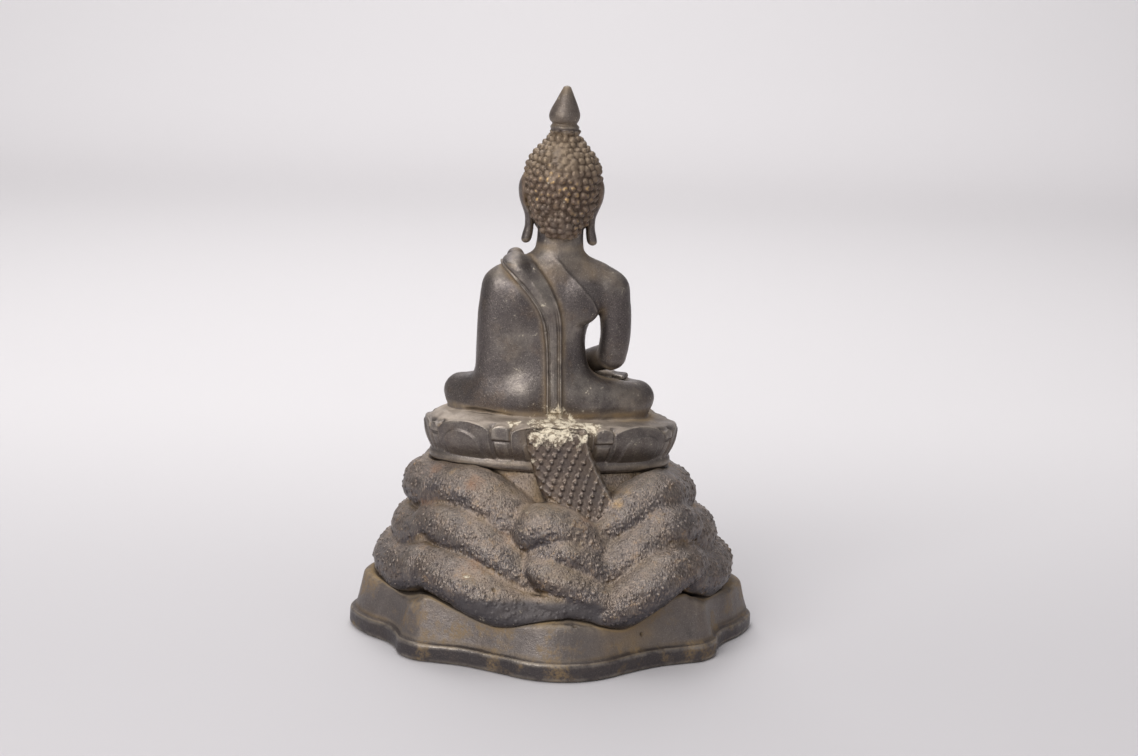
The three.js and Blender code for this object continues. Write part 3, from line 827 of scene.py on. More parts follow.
torsoStops = [
    (-3, 0.4, 4, 33, 14, 17, 2.3), (4, 0.4, 4, 32, 15.5, 17, 2.3), (9, 0.5, 4.4, 28, 15.6, 15.5, 2.3),
    (14, 0.6, 4.8, 23.6, 15, 14, 2.2), (20, 0.4, 5, 19.6, 14, 13, 2.2),
    (27, 0, 5, 16.8, 12.8, 12.4, 2.2), (35, -0.2, 5, 15.4, 12.4, 12.2, 2.2),
    (43, 0, 5, 16.4, 12.6, 12.6, 2.2), (50, 0.2, 5, 19.6, 13, 13, 2.2), (57, 0.3, 5, 24.2, 13, 13, 2.1),
    (63, 0.4, 4.8, 26.8, 12.4, 12, 2.1), (68, 0.2, 4.6, 23.6, 11.4, 10.6, 2),
    (72, 0, 4.2, 18.4, 10.6, 9.8, 2), (75.4, -0.3, 3.6, 14.6, 10.2, 9.4, 2),
    (79, -0.6, 3, 12.4, 10, 9.4, 2), (84, -0.8, 2.4, 11.4, 9.8, 9.4, 2),
    (92, -0.8, 2, 11.2, 9.6, 9.4, 2), (100, -0.8, 2, 11.2, 9.6, 9.4, 2),
]
robeStops = [
    (2, 15, 4.5, 26, 12, 11, 2.6), (10, 15, 4.5, 24, 12.4, 11, 2.6),
    (20, 15.6, 4.6, 22.4, 12.4, 10.4, 2.7), (36, 15.8, 4.8, 21.4, 12, 9.6, 2.8),
    (52, 15.8, 4.8, 20.8, 12, 9.6, 2.7), (62, 15.2, 4.6, 17.6, 11, 9.6, 2.4),
    (68, 13, 4.2, 11, 9.4, 8.4, 2.1), (72, 11, 4, 5.6, 7.4, 7, 2),
]


def trunkClay():
    return [
        (loft(torsoStops), 1),
        (loft(robeStops), 5),
        # a soft swell over each shoulder blade
        (ball((-13, 13.6, 57), (9, 4.6, 11)), 4),
        (ball((17, 13.4, 55), (9, 4.4, 12)), 4),
        # a slab under the legs
        (loft([
            (-3, 0.6, -6, 49.4, 20.4, 22, 2.4), (2.4, 0.6, -6, 49.4, 20.4, 22, 2.4),
            (6, 0.6, -6, 45, 17.4, 19, 2.3), (11, 0.6, -7, 33, 12, 14, 2.2),
        ]), 4),
    ]


def armClay():
    return [
        # the right arm is bare
        (limb([(-13, 4, 71.6, 5.6), (-20.6, 4.4, 66.8, 7.6), (-26.6, 4.8, 61.4, 8.8)]), 5),
        (limb([
            (-26.6, 5, 61.4, 9), (-29.4, 5, 52, 8), (-30.4, 4.6, 41, 7.5), (-30, 4, 34, 7.4),
            (-29.2, 2.6, 28.4, 7.3),
        ]), 3),
        (limb([
            (-28.4, -1.4, 27.4, 6.6), (-22, -10, 23.4, 6.2), (-14, -18, 19, 5.2), (-9.4, -22, 17, 4.4),
        ]), 1.6),
        # the left one is under the robe
        (limb([(13, 4, 71.6, 5.4), (20.6, 4.4, 66.6, 7.2), (26.4, 4.8, 61, 8.6)]), 5),
        (limb([
            (26.4, 5, 61, 8.8), (28.2, 5, 50, 8.2), (28.8, 4.8, 38, 7.8), (28, 3, 28, 7.8),
            (26, 0, 22, 7.6),
        ]), 4),
        (limb([(27, 0, 22, 7.6), (20, -10, 19.4, 6.8), (13, -18, 16.8, 5.4), (8, -22, 15.4, 4.4)]), 4),
    ]


def legClay():
    parts = []
    for side, knee, height, reach in ((1, 44.6, 5.8, 0), (-1, 44, 5.6, 5)):
        parts += [
            (limb(mirrored(side, [
                (13, 8, 8, 11.2), (27, 5, 7.6, 9.8), (38, -1, height + 0.4, 8.1), (knee, -7, height, 7.4),
            ])), 6),
            (limb(mirrored(side, [
                (knee, -8.6, height - 0.2, 7.2), (36, -17, 6.2, 7), (20, -24, 6.2, 6.2), (2, -28, 6.4, 5.2),
            ])), 3),
            # a foot lies across the other thigh, sole up
            (limb(mirrored(side, [
                (4, -24, 11.6, 3.6), (12, -21.6, 13.4, 3.8), (26 + reach, -16, 13.8, 3.6),
            ]), flat=(0, 0.3, 1), squash=0.75), 1.2),
        ]
        for toe in range(5):
            parts.append((limb(mirrored(side, [
                (26 + reach + 0.5 * toe, -19 + 1.8 * toe, 14.2, 1.5),
                (33 + reach - 0.6 * toe, -17 + 1.9 * toe, 14.2, 1.4),
            ]), 4), 0.6))
    return parts


def handClay():
    parts = []
    for side, level in ((-1, 17.0), (1, 13.8)):
        parts.append((limb(mirrored(side, [
            (11, -22.4, level, 4.2), (3, -25, level - 0.8, 5.4), (-4, -25.6, level - 0.8, 5),
        ]), flat=(0, 0, 1), squash=0.5), 0.8))
        for finger in range(4):
            y = -22.2 - 2.5 * finger
            length = (13, 14.6, 14, 11.6)[finger]
            parts.append((limb(mirrored(side, [
                (-3, y, level - 0.8, 1.5), (4 - length, y - 0.3, level - 0.9, 1.4),
                (-length, y - 0.5, level - 0.8, 1.1),
            ]), 6), 0.5))
        parts.append((limb(mirrored(side, [
            (4, -27, level + 0.4, 1.9), (1.6, -28.4, level + 1.8, 1.6), (-1.2, -28, level + 2.6, 1.3),
        ]), 6), 0.7))
    return parts


headAxis = -0.8
# an ear: z, x, half width, half depth
earRows = [
    (82.4, 15.8, 1.2, 1.8), (84, 15.6, 2.4, 2.8), (87, 15, 2.5, 3), (91, 14.4, 2.2, 3),
    (96, 14.6, 2.2, 3.3), (100, 15.8, 2.4, 4), (105, 17.4, 2.5, 4.8), (111, 17.8, 2.5, 5),
    (115.6, 16.8, 1.9, 4), (118, 15.8, 0.9, 2),
]


def headClay():
    # the head without its hair: a calm, plain face on usual proportions
    axis = headAxis
    parts = [
        (loft([
            (83.4, axis, -9, 3, 3, 4, 2), (85, axis, -8, 7.2, 6, 8.2, 2),
            (88, axis, -5.5, 10.6, 9, 11.4, 2), (92.5, axis, -3, 13.4, 12, 14.8, 2.1),
            (99, axis, -2, 15.6, 15, 16.8, 2.1), (106, axis, -1, 16.8, 17, 18, 2.1),
            (113, axis, 0, 17, 17, 18, 2), (121, axis, 0.5, 14.4, 15, 15.4, 2),
            (128, axis, 0.5, 8, 9, 9, 2),
        ]), 1.5),
        (limb(mirrored(0, [
            (0, -17.6, 108, 1.3), (0, -19, 103.6, 1.3), (0, -20.6, 99, 1.7), (0, -20.4, 97.8, 1.8),
        ], axis)), 1.2),
        (ball((axis, -16.4, 87.4), (4, 3, 2.8)), 2.4),
    ]
    for side in (1, -1):
        parts += [
            (ball((axis + side * 2, -18.6, 97.8), (1.5, 1.7, 1.2)), 0.6),
            (ball((axis + side * 6.8, -15.7, 104.2), (4.3, 2.2, 2.3)), 1.2),
            (limb(mirrored(side, [
                (2, -18.4, 107.4, 0.7), (6.6, -17.8, 109.6, 0.8), (12.4, -14.4, 107.4, 0.5),
            ], axis), 10), 0.8),
            (limb(mirrored(side, [
                (2.8, -17.5, 103.4, 0.4), (6.6, -17.8, 102.5, 0.5), (11, -15.2, 103.3, 0.35),
            ], axis), 10), 0.4),
            (ball((axis + side * 8.6, -13.6, 97), (4.6, 3, 4.4)), 3),
        ]
        # the left ear stands out a little more
        out = 1.0 if side > 0 else 0.2
        parts.append((loft([(z, axis + side * (x + out), 0.5, w, d, d, 2) for z, x, w, d in earRows]), 0.8))
    parts += [
        (ball((axis, -18.0, 93.9), (4.5, 1.9, 1.0)), 0.5),
        (ball((axis, -17.3, 91.9), (3.6, 1.9, 1.1)), 0.5),
    ]
    return parts


# the cap of hair without its curls: z, half width, depth behind, depth before, centre y
hairRows = [
    (84.6, 4.0, 10.4, 8, 2.2), (87, 8.6, 13.6, 9, 1.6), (90, 11.6, 16, 11, 1.2),
    (93, 13.4, 17.2, 12, 0.8), (96, 14.6, 18, 13.4, 0.4), (99, 15.7, 18.6, 15, 0.2),
    (102, 16.5, 19.2, 16.4, 0), (107, 17.4, 19.6, 18.2, 0), (113, 17.9, 19.4, 18.4, 0),
    (118, 17.9, 18.6, 17.8, 0), (121.6, 17.1, 17.4, 16.8, 0), (125, 15.4, 15.6, 15.2, 0),
    (128, 13.4, 13.6, 13.2, 0), (131, 10.8, 11, 10.8, 0), (133.4, 8.6, 8.8, 8.6, 0),
    (135.8, 7, 7, 7, 0), (138.6, 6.2, 6.2, 6.2, 0),
]
hairCap = loft([(z, headAxis, y, w, d, f, 2) for z, w, d, f, y in hairRows])
# height of the hair's edge, by degrees from the nape round to the brow
hairEdge = lookUp([
    (-20, 87.2), (0, 86.8), (20, 87.4), (39, 89.6), (64, 96.6), (82, 103.4), (100, 108), (116, 111),
    (140, 112.8), (165, 113.4), (180, 113.2), (190, 113.2),
])
# the finial: z, centre x, radius
finialRows = [
    (134.6, -0.4, 5.8), (137.6, -0.4, 5.8), (138.2, -0.4, 6.2), (139, -0.4, 6.9), (139.8, -0.4, 7.1),
    (140.6, -0.4, 6.6), (141.1, -0.3, 6.0), (141.7, -0.2, 6.1), (142.7, 0, 6.9), (144.4, 0, 7.5),
    (146.4, -0.1, 7.4), (149, -0.2, 6.5), (152, -0.4, 5.1), (155, -0.5, 3.7), (157.5, -0.6, 2.5),
    (159, -0.6, 1.8), (159.7, -0.6, 0.9),
]
finial = loft([(z, x, 0, r, r, r, 2) for z, x, r in finialRows])


def hairHeight(p):
    # how far above the hair's edge a point is
    return p[:, 2] - hairEdge(np.degrees(np.arctan2(np.abs(p[:, 0] - headAxis), p[:, 1])))


def curlCentres():
    # curls in staggered rows over the cap
    rng = np.random.default_rng(5)
    rows = smoothCurve(hairRows, 300)
    arc = np.concatenate([[0], np.cumsum(np.hypot(np.diff(rows[:, 0]), np.diff(rows[:, 1])))])
    pitch = figureShape["curlPitch"]
    centres = []
    for n, level in enumerate(np.arange(pitch * 0.3, arc[-1] - 0.8, pitch * 0.86)):
        z, w, d, f, y = (np.interp(level, arc, rows[:, k]) for k in range(5))
        count = max(11, round(math.pi * (w + (d + f) / 2) / pitch))
        for k in range(count):
            angle = 2 * math.pi * (k + 0.5 * (n % 2) + rng.uniform(-0.3, 0.3)) / count
            s = math.sin(angle)
            depth = d if s > 0 else f
            centres.append((headAxis + w * math.cos(angle), y + depth * s, z + rng.uniform(-0.9, 0.9)))
    centres = np.array(centres)
    return centres[hairHeight(centres) > 0.5]


sashShape = {
    # x, z and half width down the back
    "path": [
        (22.4, 76.4, 6.3), (18.6, 73.2, 6.3), (13.8, 68.4, 6.2), (9.2, 62.9, 5.9), (4.6, 55.4, 5.3),
        (2.2, 49, 4.9), (1.1, 43.4, 4.6), (0.2, 34, 4.2), (-0.4, 23.8, 4.05), (-1, 12, 4.05),
        (-1.5, 0, 4.05),
    ],
    "thick": 2.0,
    "rollThick": 2.2,
    "cord": 1.2,
    "foot": 1.6,
}
robeEdge = [(3.4, 78.6), (-0.9, 75.6), (-5, 70.9), (-11.1, 65.2), (-17.6, 57.8), (-21, 50.8)]
# in front, as x, z and half width
frontSash = [(20.6, 76, 4.2), (18.8, 69, 4.5), (16, 60, 4.5), (14, 50, 4.4), (13, 40, 4.3), (12.6, 30, 4.2)]
frontEdge = [(12, 67), (4, 60.5), (-5, 55), (-14, 51), (-22, 48.6)]


def pathPlace(p, path):
    # for points seen along y: signed distance across a path of x and z, share along it, and its width there
    rows = smoothCurve(path, 40)
    q = p[:, [0, 2]]
    best = np.full(len(q), 1e9)
    across = np.zeros(len(q))
    share = np.zeros(len(q))
    width = np.zeros(len(q))
    for n, (a, b) in enumerate(zip(rows, rows[1:])):
        along = b[:2] - a[:2]
        gap = q - a[:2]
        t = np.clip(gap @ along / (along @ along), 0, 1)
        left = gap - t[:, None] * along
        d = (left**2).sum(1)
        closer = d < best
        sign = np.sign(along[0] * gap[:, 1] - along[1] * gap[:, 0])
        best = np.where(closer, d, best)
        across = np.where(closer, sign * np.sqrt(d), across)
        share = np.where(closer, (n + t) / (len(rows) - 1), share)
        if rows.shape[1] > 2:
            width = np.where(closer, a[2] + t * (b[2] - a[2]), width)
    return across, share, width


def dressRelief(p):
    # the sash, its two edge cords and the robe's edge, as height over the body
    lift = np.zeros(len(p))
    behind = np.nonzero((p[:, 1] > 3) & (p[:, 2] < 82) & (np.abs(p[:, 0]) < 40))[0]
    if len(behind) == 0:
        return lift
    q = p[behind]
    s = sashShape
    across, share, half = pathPlace(q, s["path"])
    upper = 1 - ease((share - 0.3) / 0.25)
    inner = half - np.abs(across)
    strap = ease((inner + 0.45) / 0.9)
    cord = s["cord"] * bell((inner - 0.85) / 0.62)
    groove = -0.8 * bell((inner - 2.0) / 0.42) + 0.14 * np.cos(across * 4.2)
    crown = s["rollThick"] * np.sqrt(np.clip(inner / half, 0, 1))
    # on the rolled part only a thin strip stands beside the outer edge
    strip = -1.0 * bell((inner - 1.6) / 0.45) * (across > 0)
    flat = s["thick"] + cord + groove
    rolled = s["thick"] * 0.7 + crown + strip
    own = strap * (flat * (1 - upper) + rolled * upper) * ease((q[:, 2] - s["foot"]) / 0.7 + 0.5)
    side, along, _ = pathPlace(q, robeEdge)
    # the robe's thickness shows beside its edge and fades further in
    robe = 0.45 * ease(0.5 + side / 1.4) * ease((14 - side) / 11)
    ridge = 0.6 * bell(side / 0.75) * ease(along * 6) * ease((1 - along) * 12)
    fade = ease((q[:, 1] - 3) / 5) * ease((79.4 - q[:, 2]) / 5)
    # the robe ends at the bare right arm
    offArm = np.maximum(ease((q[:, 0] + 22.6) / 1.2), ease((16 - q[:, 2]) / 3))
    lift[behind] = np.maximum(own, (robe * ease(along * 8) + ridge) * offArm) * fade
    return lift


def frontRelief(p):
    # the sash hangs flat and the robe's edge crosses the chest, both plainer than behind
    lift = np.zeros(len(p))
    before = np.nonzero((p[:, 1] < 3) & (p[:, 2] > 26) & (p[:, 2] < 80) & (np.abs(p[:, 0]) < 32))[0]
    if len(before) == 0:
        return lift
    q = p[before]
    across, _, half = pathPlace(q, frontSash)
    inner = half - np.abs(across)
    strap = ease((inner + 0.4) / 0.9) * (1.1 + 0.5 * bell((inner - 0.8) / 0.6))
    side, along, _ = pathPlace(q, frontEdge)
    robe = 0.4 * ease(0.5 + side / 1.2) * ease((10 - side) / 9) + 0.45 * bell(side / 0.7)
    robe *= ease(along * 8) * ease((1 - along) * 10)
    lift[before] = np.maximum(strap * ease((q[:, 2] - 31) / 0.8), robe) * ease((3 - q[:, 1]) / 4)
    return lift


figureClay = trunkClay() + armClay() + legClay() + handClay() + headClay()
# the sash's roll over the left shoulder
figureClay.append((limb([
    (18.2, 14.6, 68, 2.6), (20, 12.4, 72.2, 3.6), (20.6, 8, 74.8, 4.1), (20.6, 1, 75, 4.1),
    (20, -2.6, 71.4, 3.4), (18.6, -4.4, 67, 2.8), (17, -4.6, 62, 2.0),
], flat=(0.2, 0.4, 1), squash=0.75), 1.6))


def buddhaField(p):
    # in the figure's own upright frame
    clay = Clay(p)
    for shape, soft in figureClay:
        clay.put(shape, soft)
    gap = clay.gap
    if clay.high[2] > 76:
        cap = carve(hairCap[2](p), np.clip(-hairHeight(p), -9, 9), 0.8)
        gap = melt(gap, np.where(p[:, 2] > 78, cap, 9), 0.5)
        gap = melt(gap, np.where(p[:, 2] > 130, finial[2](p), 9), 0.4)
    near = np.nonzero(np.abs(gap) < 5)[0]
    gap[near] -= dressRelief(p[near]) + frontRelief(p[near])
    return gap


def figureField(p):
    gap = seatField(p)
    up = np.nonzero(p[:, 2] > figureShape["foot"][2] - 6)[0]
    if len(up):
        gap[up] = melt(gap[up], buddhaField(toFigure(p[up])), 1.6)
    return gap


# materials

class Shade:
    # wraps a node's output, so that shader maths reads as an expression
    def __init__(self, paint, socket):
        self.paint = paint
        self.socket = socket

    def calc(self, operation, *values):
        return self.paint.node("ShaderNodeMath", {"operation": operation}, dict(enumerate(values)))

    def __add__(self, other):
        return self.calc("ADD", self, other)

    def __sub__(self, other):
        return self.calc("SUBTRACT", self, other)

    def __rsub__(self, other):
        return self.calc("SUBTRACT", other, self)

    def __mul__(self, other):
        return self.calc("MULTIPLY", self, other)

    __radd__ = __add__
    __rmul__ = __mul__

    def clamp(self):
        return self.paint.node("ShaderNodeClamp", {}, {0: self})

    def between(self, low, high):
        # 0 below low and 1 above high, with a soft step between
        return self.paint.node("ShaderNodeMapRange", {"interpolation_type": "SMOOTHSTEP"},
                               {"Value": self, "From Min": low, "From Max": high})


class Paint:
    def __init__(self, name):
        self.material = bpy.data.materials.new(name)
        self.material.use_nodes = True
        self.tree = self.material.node_tree
        self.shader = self.tree.nodes["Principled BSDF"]
        self.place = self.node("ShaderNodeTexCoord", {}, {}, 3)

    def node(self, kind, settings, values, out=0):
        made = self.tree.nodes.new(kind)
        for key, value in settings.items():
            setattr(made, key, value)
        for key, value in values.items():
            self.feed(made.inputs[key], value)
        return Shade(self, made.outputs[out])

    def feed(self, socket, value):
        if isinstance(value, Shade):
            self.tree.links.new(value.socket, socket)
        else:
            socket.default_value = value

    def mix(self, factor, a, b):
        return self.node("ShaderNodeMix", {"data_type": "RGBA"}, {0: factor, 6: a, 7: b}, 2)

    def noise(self, scale, detail=3.0, rough=0.5, place=None):
        # scale is in features to the metre
        return self.node("ShaderNodeTexNoise", {}, {
            "Vector": place or self.place, "Scale": scale, "Detail": detail, "Roughness": rough,
        })

    def strokes(self, scale, detail=3.0, rough=0.5):
        # noise drawn out upwards, like short hair
        longer = {0: self.place, 1: (1, 1, 0.4)}
        drawn = self.node("ShaderNodeVectorMath", {"operation": "MULTIPLY"}, longer)
        return self.noise(scale, detail, rough, drawn)

    def cells(self, scale):
        return self.node("ShaderNodeTexVoronoi", {}, {"Vector": self.place, "Scale": scale})

    def map(self, name):
        return self.node("ShaderNodeAttribute", {"attribute_name": name}, {}, 2)

    def bump(self, height, distance):
        return self.node("ShaderNodeBump", {}, {"Height": height, "Distance": distance, "Strength": 1.0})

    def finish(self, **values):
        for key, value in values.items():
            self.feed(self.shader.inputs[key.replace("_", " ")], value)
        return self.material


def tone(red, green, blue):
    # a colour as seen on a screen, 0 to 255, to the shader's linear value
    return tuple(((c / 255 + 0.055) / 1.055) ** 2.4 for c in (red, green, blue)) + (1,)


bronzeTones = {
    "dark": tone(84, 78, 77),
    "middle": tone(116, 108, 105),
    "light": tone(150, 141, 134),
    "brown": tone(122, 106, 92),
    "worn": tone(188, 178, 164),
    "dirt": tone(146, 130, 110),
    "ochre": tone(146, 122, 86),
    "deep": tone(44, 36, 31),
    "cream": tone(236, 224, 200),
    "lip": tone(68, 64, 66),
    "rust": tone(150, 108, 78),
    "beige": tone(178, 158, 140),
    "steel": tone(82, 80, 86),
    "hair": tone(100, 82, 71),
    "hairTop": tone(124, 107, 88),
    "crevice": tone(58, 42, 32),
    "ledge": tone(180, 167, 154),
    "gold": tone(200, 164, 108),
}


def bareBronze(paint):
    # metal with slow and fine changes of tone, shared by the three castings
    t = bronzeTones
    slow = paint.noise(38, 3, 0.55)
    mottled = paint.noise(150, 4, 0.6)
    fine = paint.noise(700, 3, 0.65)
    color = paint.mix(slow.between(0.3, 0.7) * 0.5 + 0.15, t["dark"], t["middle"])
    color = paint.mix(mottled.between(0.5, 0.8) * 0.2, color, t["light"])
    color = paint.mix(paint.noise(70, 3, 0.6).between(0.5, 0.7) * 0.45, color, t["brown"])
    # a sandy grain, dark and light
    color = paint.mix(fine.between(0.42, 0.66) * 0.6, color, t["dark"])
    color = paint.mix(paint.noise(1700, 2, 0.6).between(0.55, 0.72) * 0.35, color, t["worn"])
    color = paint.mix(paint.noise(1100, 2, 0.6).between(0.58, 0.72) * 0.4, color, t["deep"])
    return color, slow, mottled, fine


def creamCrust(paint, color, mottled):
    # crumbly pale remains in a bed of dirt
    t = bronzeTones
    amount = paint.map("cream")
    crumbs = paint.noise(300, 5, 0.7)
    cream = (amount * 1.7 + mottled * 1.4 + crumbs * 2.4 - 2.4).between(0, 0.5)
    color = paint.mix(amount.between(0.15, 0.7) * mottled.between(0.2, 0.6) * 0.8, color, t["dirt"])
    color = paint.mix(cream, color, paint.mix(crumbs.between(0.42, 0.58), t["dirt"], t["cream"]))
    return color, cream, crumbs


def dirtTone(paint, slow):
    return paint.mix(slow.between(0.4, 0.6), bronzeTones["dirt"], bronzeTones["ochre"])


def figureBronze():
    t = bronzeTones
    paint = Paint("figureBronze")
    color, slow, mottled, fine = bareBronze(paint)
    recess = paint.map("recess")
    edge = paint.map("edge")
    hair = paint.map("hair")
    worn = edge.between(0.3, 1.0) * mottled.between(0.3, 0.6)
    color = paint.mix(worn * 0.4, color, t["worn"])
    # paler where rubbed, and painted highlight: the sash down the back, the seat's petal walls and spots
    # such as the right hip
    rubbedAndLit = (paint.map("rubAndHighlight") * mottled.between(0.2, 0.7)).clamp()
    color = paint.mix(rubbedAndLit * 0.4, color, t["worn"])
    # curls: brown, lighter towards the crown, with a little dirt, painted shade in the crevices, gilt
    # traces on some
    patches = paint.noise(75, 3, 0.6)
    curl = paint.mix((paint.map("crown") + patches * 0.8 - 0.4).clamp(), t["hair"], t["hairTop"])
    curl = paint.mix(mottled.between(0.4, 0.65) * 0.5, curl, t["brown"])
    curl = paint.mix(fine.between(0.35, 0.6) * 0.35, curl, t["dirt"])
    gilt = paint.map("gilt") * edge.between(0.1, 0.8) * paint.noise(420, 3, 0.6).between(0.48, 0.6)
    curl = paint.mix(gilt.clamp() * 0.75, curl, t["gold"])
    curl = paint.mix(patches.between(0.5, 0.66) * 0.4, curl, t["dark"])
    # painted shade in the crevices between the curls
    curl = paint.mix(edge.between(0.0, -0.6) * 0.55, curl, t["crevice"])
    color = paint.mix(hair, color, curl)
    dust = paint.map("dust") * (mottled * 1.3)
    dusty = (recess.between(0.15, 0.6) * (mottled * 0.8 + 0.1) + dust).clamp()
    color = paint.mix(dusty * 0.75, color, dirtTone(paint, slow))
    # the ledge is painted paler, fading towards the figure's right: dust and painted light from the lit
    # side
    color = paint.mix(paint.map("ledge") * (mottled * 1.6).clamp() * 0.85, color, t["ledge"])
    color, cream, crumbs = creamCrust(paint, color, mottled)
    # painted shade in the deepest recesses
    color = paint.mix(recess.between(0.65, 1.0) * 0.8, color, t["deep"])
    grain = paint.noise(2400, 2, 0.5) * 0.25
    height = fine * (hair * 0.9 + 0.6) + mottled * 0.9 + grain + cream * crumbs * 1.8
    return paint.finish(
        Base_Color=color,
        Metallic=(0.85 - dusty * 0.7 - hair * 0.3 - cream * 0.8).clamp(),
        Roughness=(0.34 + dusty * 0.35 + fine * 0.16 - worn * 0.08 - rubbedAndLit * 0.06 + cream * 0.3).clamp(),
        Normal=paint.bump(height, 0.25 * mm),
    )


def coilBronze():
    t = bronzeTones
    paint = Paint("coilBronze")
    color, slow, mottled, fine = bareBronze(paint)
    recess = paint.map("recess")
    edge = paint.map("edge")
    up = paint.map("up")
    neck = paint.map("neck")
    color = paint.mix(slow.between(0.3, 0.7) * 0.4, color, t["steel"])
    color = paint.mix(paint.noise(60, 3, 0.6).between(0.4, 0.65) * 0.5, color, t["brown"])
    # dust gathers beside the creases and a little on top; the tops get painted light, and the undersides
    # painted shade in a steel tone
    furry = (1 - (neck * 0.9 + paint.map("bareShadedLip")).clamp()) * (up + 0.9).between(0, 1.2)
    fur = paint.strokes(1250, 2, 0.5)
    # painted light on the upward faces, then painted shade, in a steel tone, on the undersides
    color = paint.mix((up + mottled * 0.6).between(0.1, 1.0) * 0.22, color, t["light"])
    color = paint.mix((0.2 - up).between(0, 0.8) * 0.75, color, t["steel"])
    tip = paint.map("tip")
    dusty = (up * 0.8 + recess * 1.2 + mottled * 0.7 + slow * 0.5 + fur * 0.5 - 1.15).between(-0.1, 0.8)
    dusty = dusty * paint.map("dust") * (1 - neck * 0.85)
    dust = paint.mix(paint.noise(90, 3, 0.6).between(0.4, 0.62), t["beige"], t["dirt"])
    color = paint.mix(dusty * 0.75, color, dust)
    color = paint.mix(fur.between(0.54, 0.66) * furry * 0.4, color, t["beige"])
    color = paint.mix(fur.between(0.46, 0.34) * furry * 0.4, color, t["crevice"])
    creased = (recess.between(0.2, 0.6) * mottled.between(0.3, 0.6) * 0.6).clamp()
    color = paint.mix(creased, color, t["ochre"])
    for spots, stainTone in (("stain", "rust"), ("gilt", "gold")):
        stain = (paint.map(spots) + mottled * 2 + fine - 1.7).clamp() * 0.6
        color = paint.mix(stain, color, t[stainTone])
    color = paint.mix(neck * slow.between(0.3, 0.6) * 0.5, color, t["brown"])
    bareShadedLip = paint.map("bareShadedLip")
    # the lip is painted dark: bare metal with painted shade
    color = paint.mix(bareShadedLip * 0.85, color, t["lip"])
    bright = (1 - bareShadedLip * 0.8) * (neck * 0.8 + 0.5)
    color = paint.mix(edge.between(0.15, 0.7) * bright * 0.2, color, t["worn"])
    # stud tips paler: wear and a painted highlight
    color = paint.mix(tip.between(0.35, 0.9) * bright * 0.2, color, t["worn"])
    pits = paint.cells(230).between(0.06, 0.2)
    color = paint.mix((1 - pits) * 0.35 * furry, color, t["deep"])
    color, cream, crumbs = creamCrust(paint, color, mottled)
    # painted shade in the deepest recesses
    color = paint.mix(recess.between(0.4, 0.9) * 0.75, color, t["deep"])
    height = pits * 0.3 + fur * furry * 1.1 + mottled * 0.7 + fine * 0.4 + cream * crumbs * 1.4
    return paint.finish(
        Base_Color=color,
        Metallic=(0.85 - dusty * 0.5 - cream * 0.8 - bareShadedLip * 0.45).clamp(),
        Roughness=(0.34 + bareShadedLip * 0.1 + dusty * 0.26 + fine * 0.14 - tip * 0.12 + cream * 0.3).clamp(),
        Normal=paint.bump(height, 0.5 * mm),
    )


def plinthBronze():
    t = bronzeTones
    paint = Paint("plinthBronze")
    color, slow, mottled, fine = bareBronze(paint)
    recess = paint.map("recess")
    edge = paint.map("edge")
    wall = paint.map("wall")
    color = paint.mix(wall * 0.35, color, t["light"])
    color = paint.mix((1 - wall) * 0.65, color, t["lip"])
    # brown dirt in blotches and specks
    blotch = paint.noise(55, 4, 0.65).between(0.5, 0.64) * fine.between(0.3, 0.6)
    color = paint.mix(blotch * 0.6, color, t["ochre"])
    worn = edge.between(0.12, 0.6) * mottled.between(0.3, 0.6)
    color = paint.mix(worn * 0.3, color, t["worn"])
    dust = paint.map("dust") * (mottled + 0.1)
    dusty = (recess.between(0.1, 0.5) * (mottled * 0.8 + 0.3) + dust).clamp()
    color = paint.mix(dusty * 0.8, color, dirtTone(paint, slow))
    # painted shade in the deepest recesses, and the pits painted dark
    color = paint.mix((recess.between(0.5, 0.95) * 0.85 + paint.map("pit")).clamp(), color, t["deep"])
    height = fine * 0.6 + mottled * 1.0 + paint.noise(2400, 2, 0.5) * 0.25
    return paint.finish(
        Base_Color=color,
        Metallic=(0.8 - dusty * 0.6 - blotch * 0.3).clamp(),
        Roughness=(0.36 + dusty * 0.35 + fine * 0.16 + blotch * 0.2 - worn * 0.1).clamp(),
        Normal=paint.bump(height, 0.3 * mm),
    )


# camera and light

cameraView = {
    "frame": (1138, 756),
    "focal": 2204.4,  # in pixels of that frame
    "place": (37.3, 1067.9, 370.0),  # mm
    "down": 12.757,
    "yaw": 2.27,
    "roll": 1.9,
}


def addCamera():
    down, yaw, roll = (math.radians(cameraView[k]) for k in ("down", "yaw", "roll"))
    look = Vector((-math.sin(yaw) * math.cos(down), -math.cos(yaw) * math.cos(down), -math.sin(down)))
    level = look.cross(Vector((0, 0, 1))).normalized()
    up = level.cross(look)
    right = math.cos(roll) * level + math.sin(roll) * up
    top = math.cos(roll) * up - math.sin(roll) * level
    data = bpy.data.cameras.new("camera")
    data.sensor_width = 36
    data.lens = 36 * cameraView["focal"] / cameraView["frame"][0]
    camera = addObject("camera", data)
    turn = Matrix((right, top, -look)).transposed().to_4x4()
    camera.matrix_world = Matrix.Translation(Vector(cameraView["place"]) * mm) @ turn
    bpy.context.scene.camera = camera


# name, place and width in metres, power in watts, colour, and the place that the light is turned to
lights = [
    ("key", (0.95, 1.5, 1.15), 1.4, 30, (1, 0.99, 0.98)),
    ("fill", (-1.4, 1.1, 0.8), 1.4, 2.4, (0.98, 0.98, 1)),
    ("top", (0.1, 0.1, 1.9), 1.5, 14),
    ("front", (0.2, -0.75, 1.3), 0.8, 5),
    ("backdrop", (0, -1.3, 1.7), 1.6, 12, (1, 1, 1), (0, -2.2, 0.5)),
]


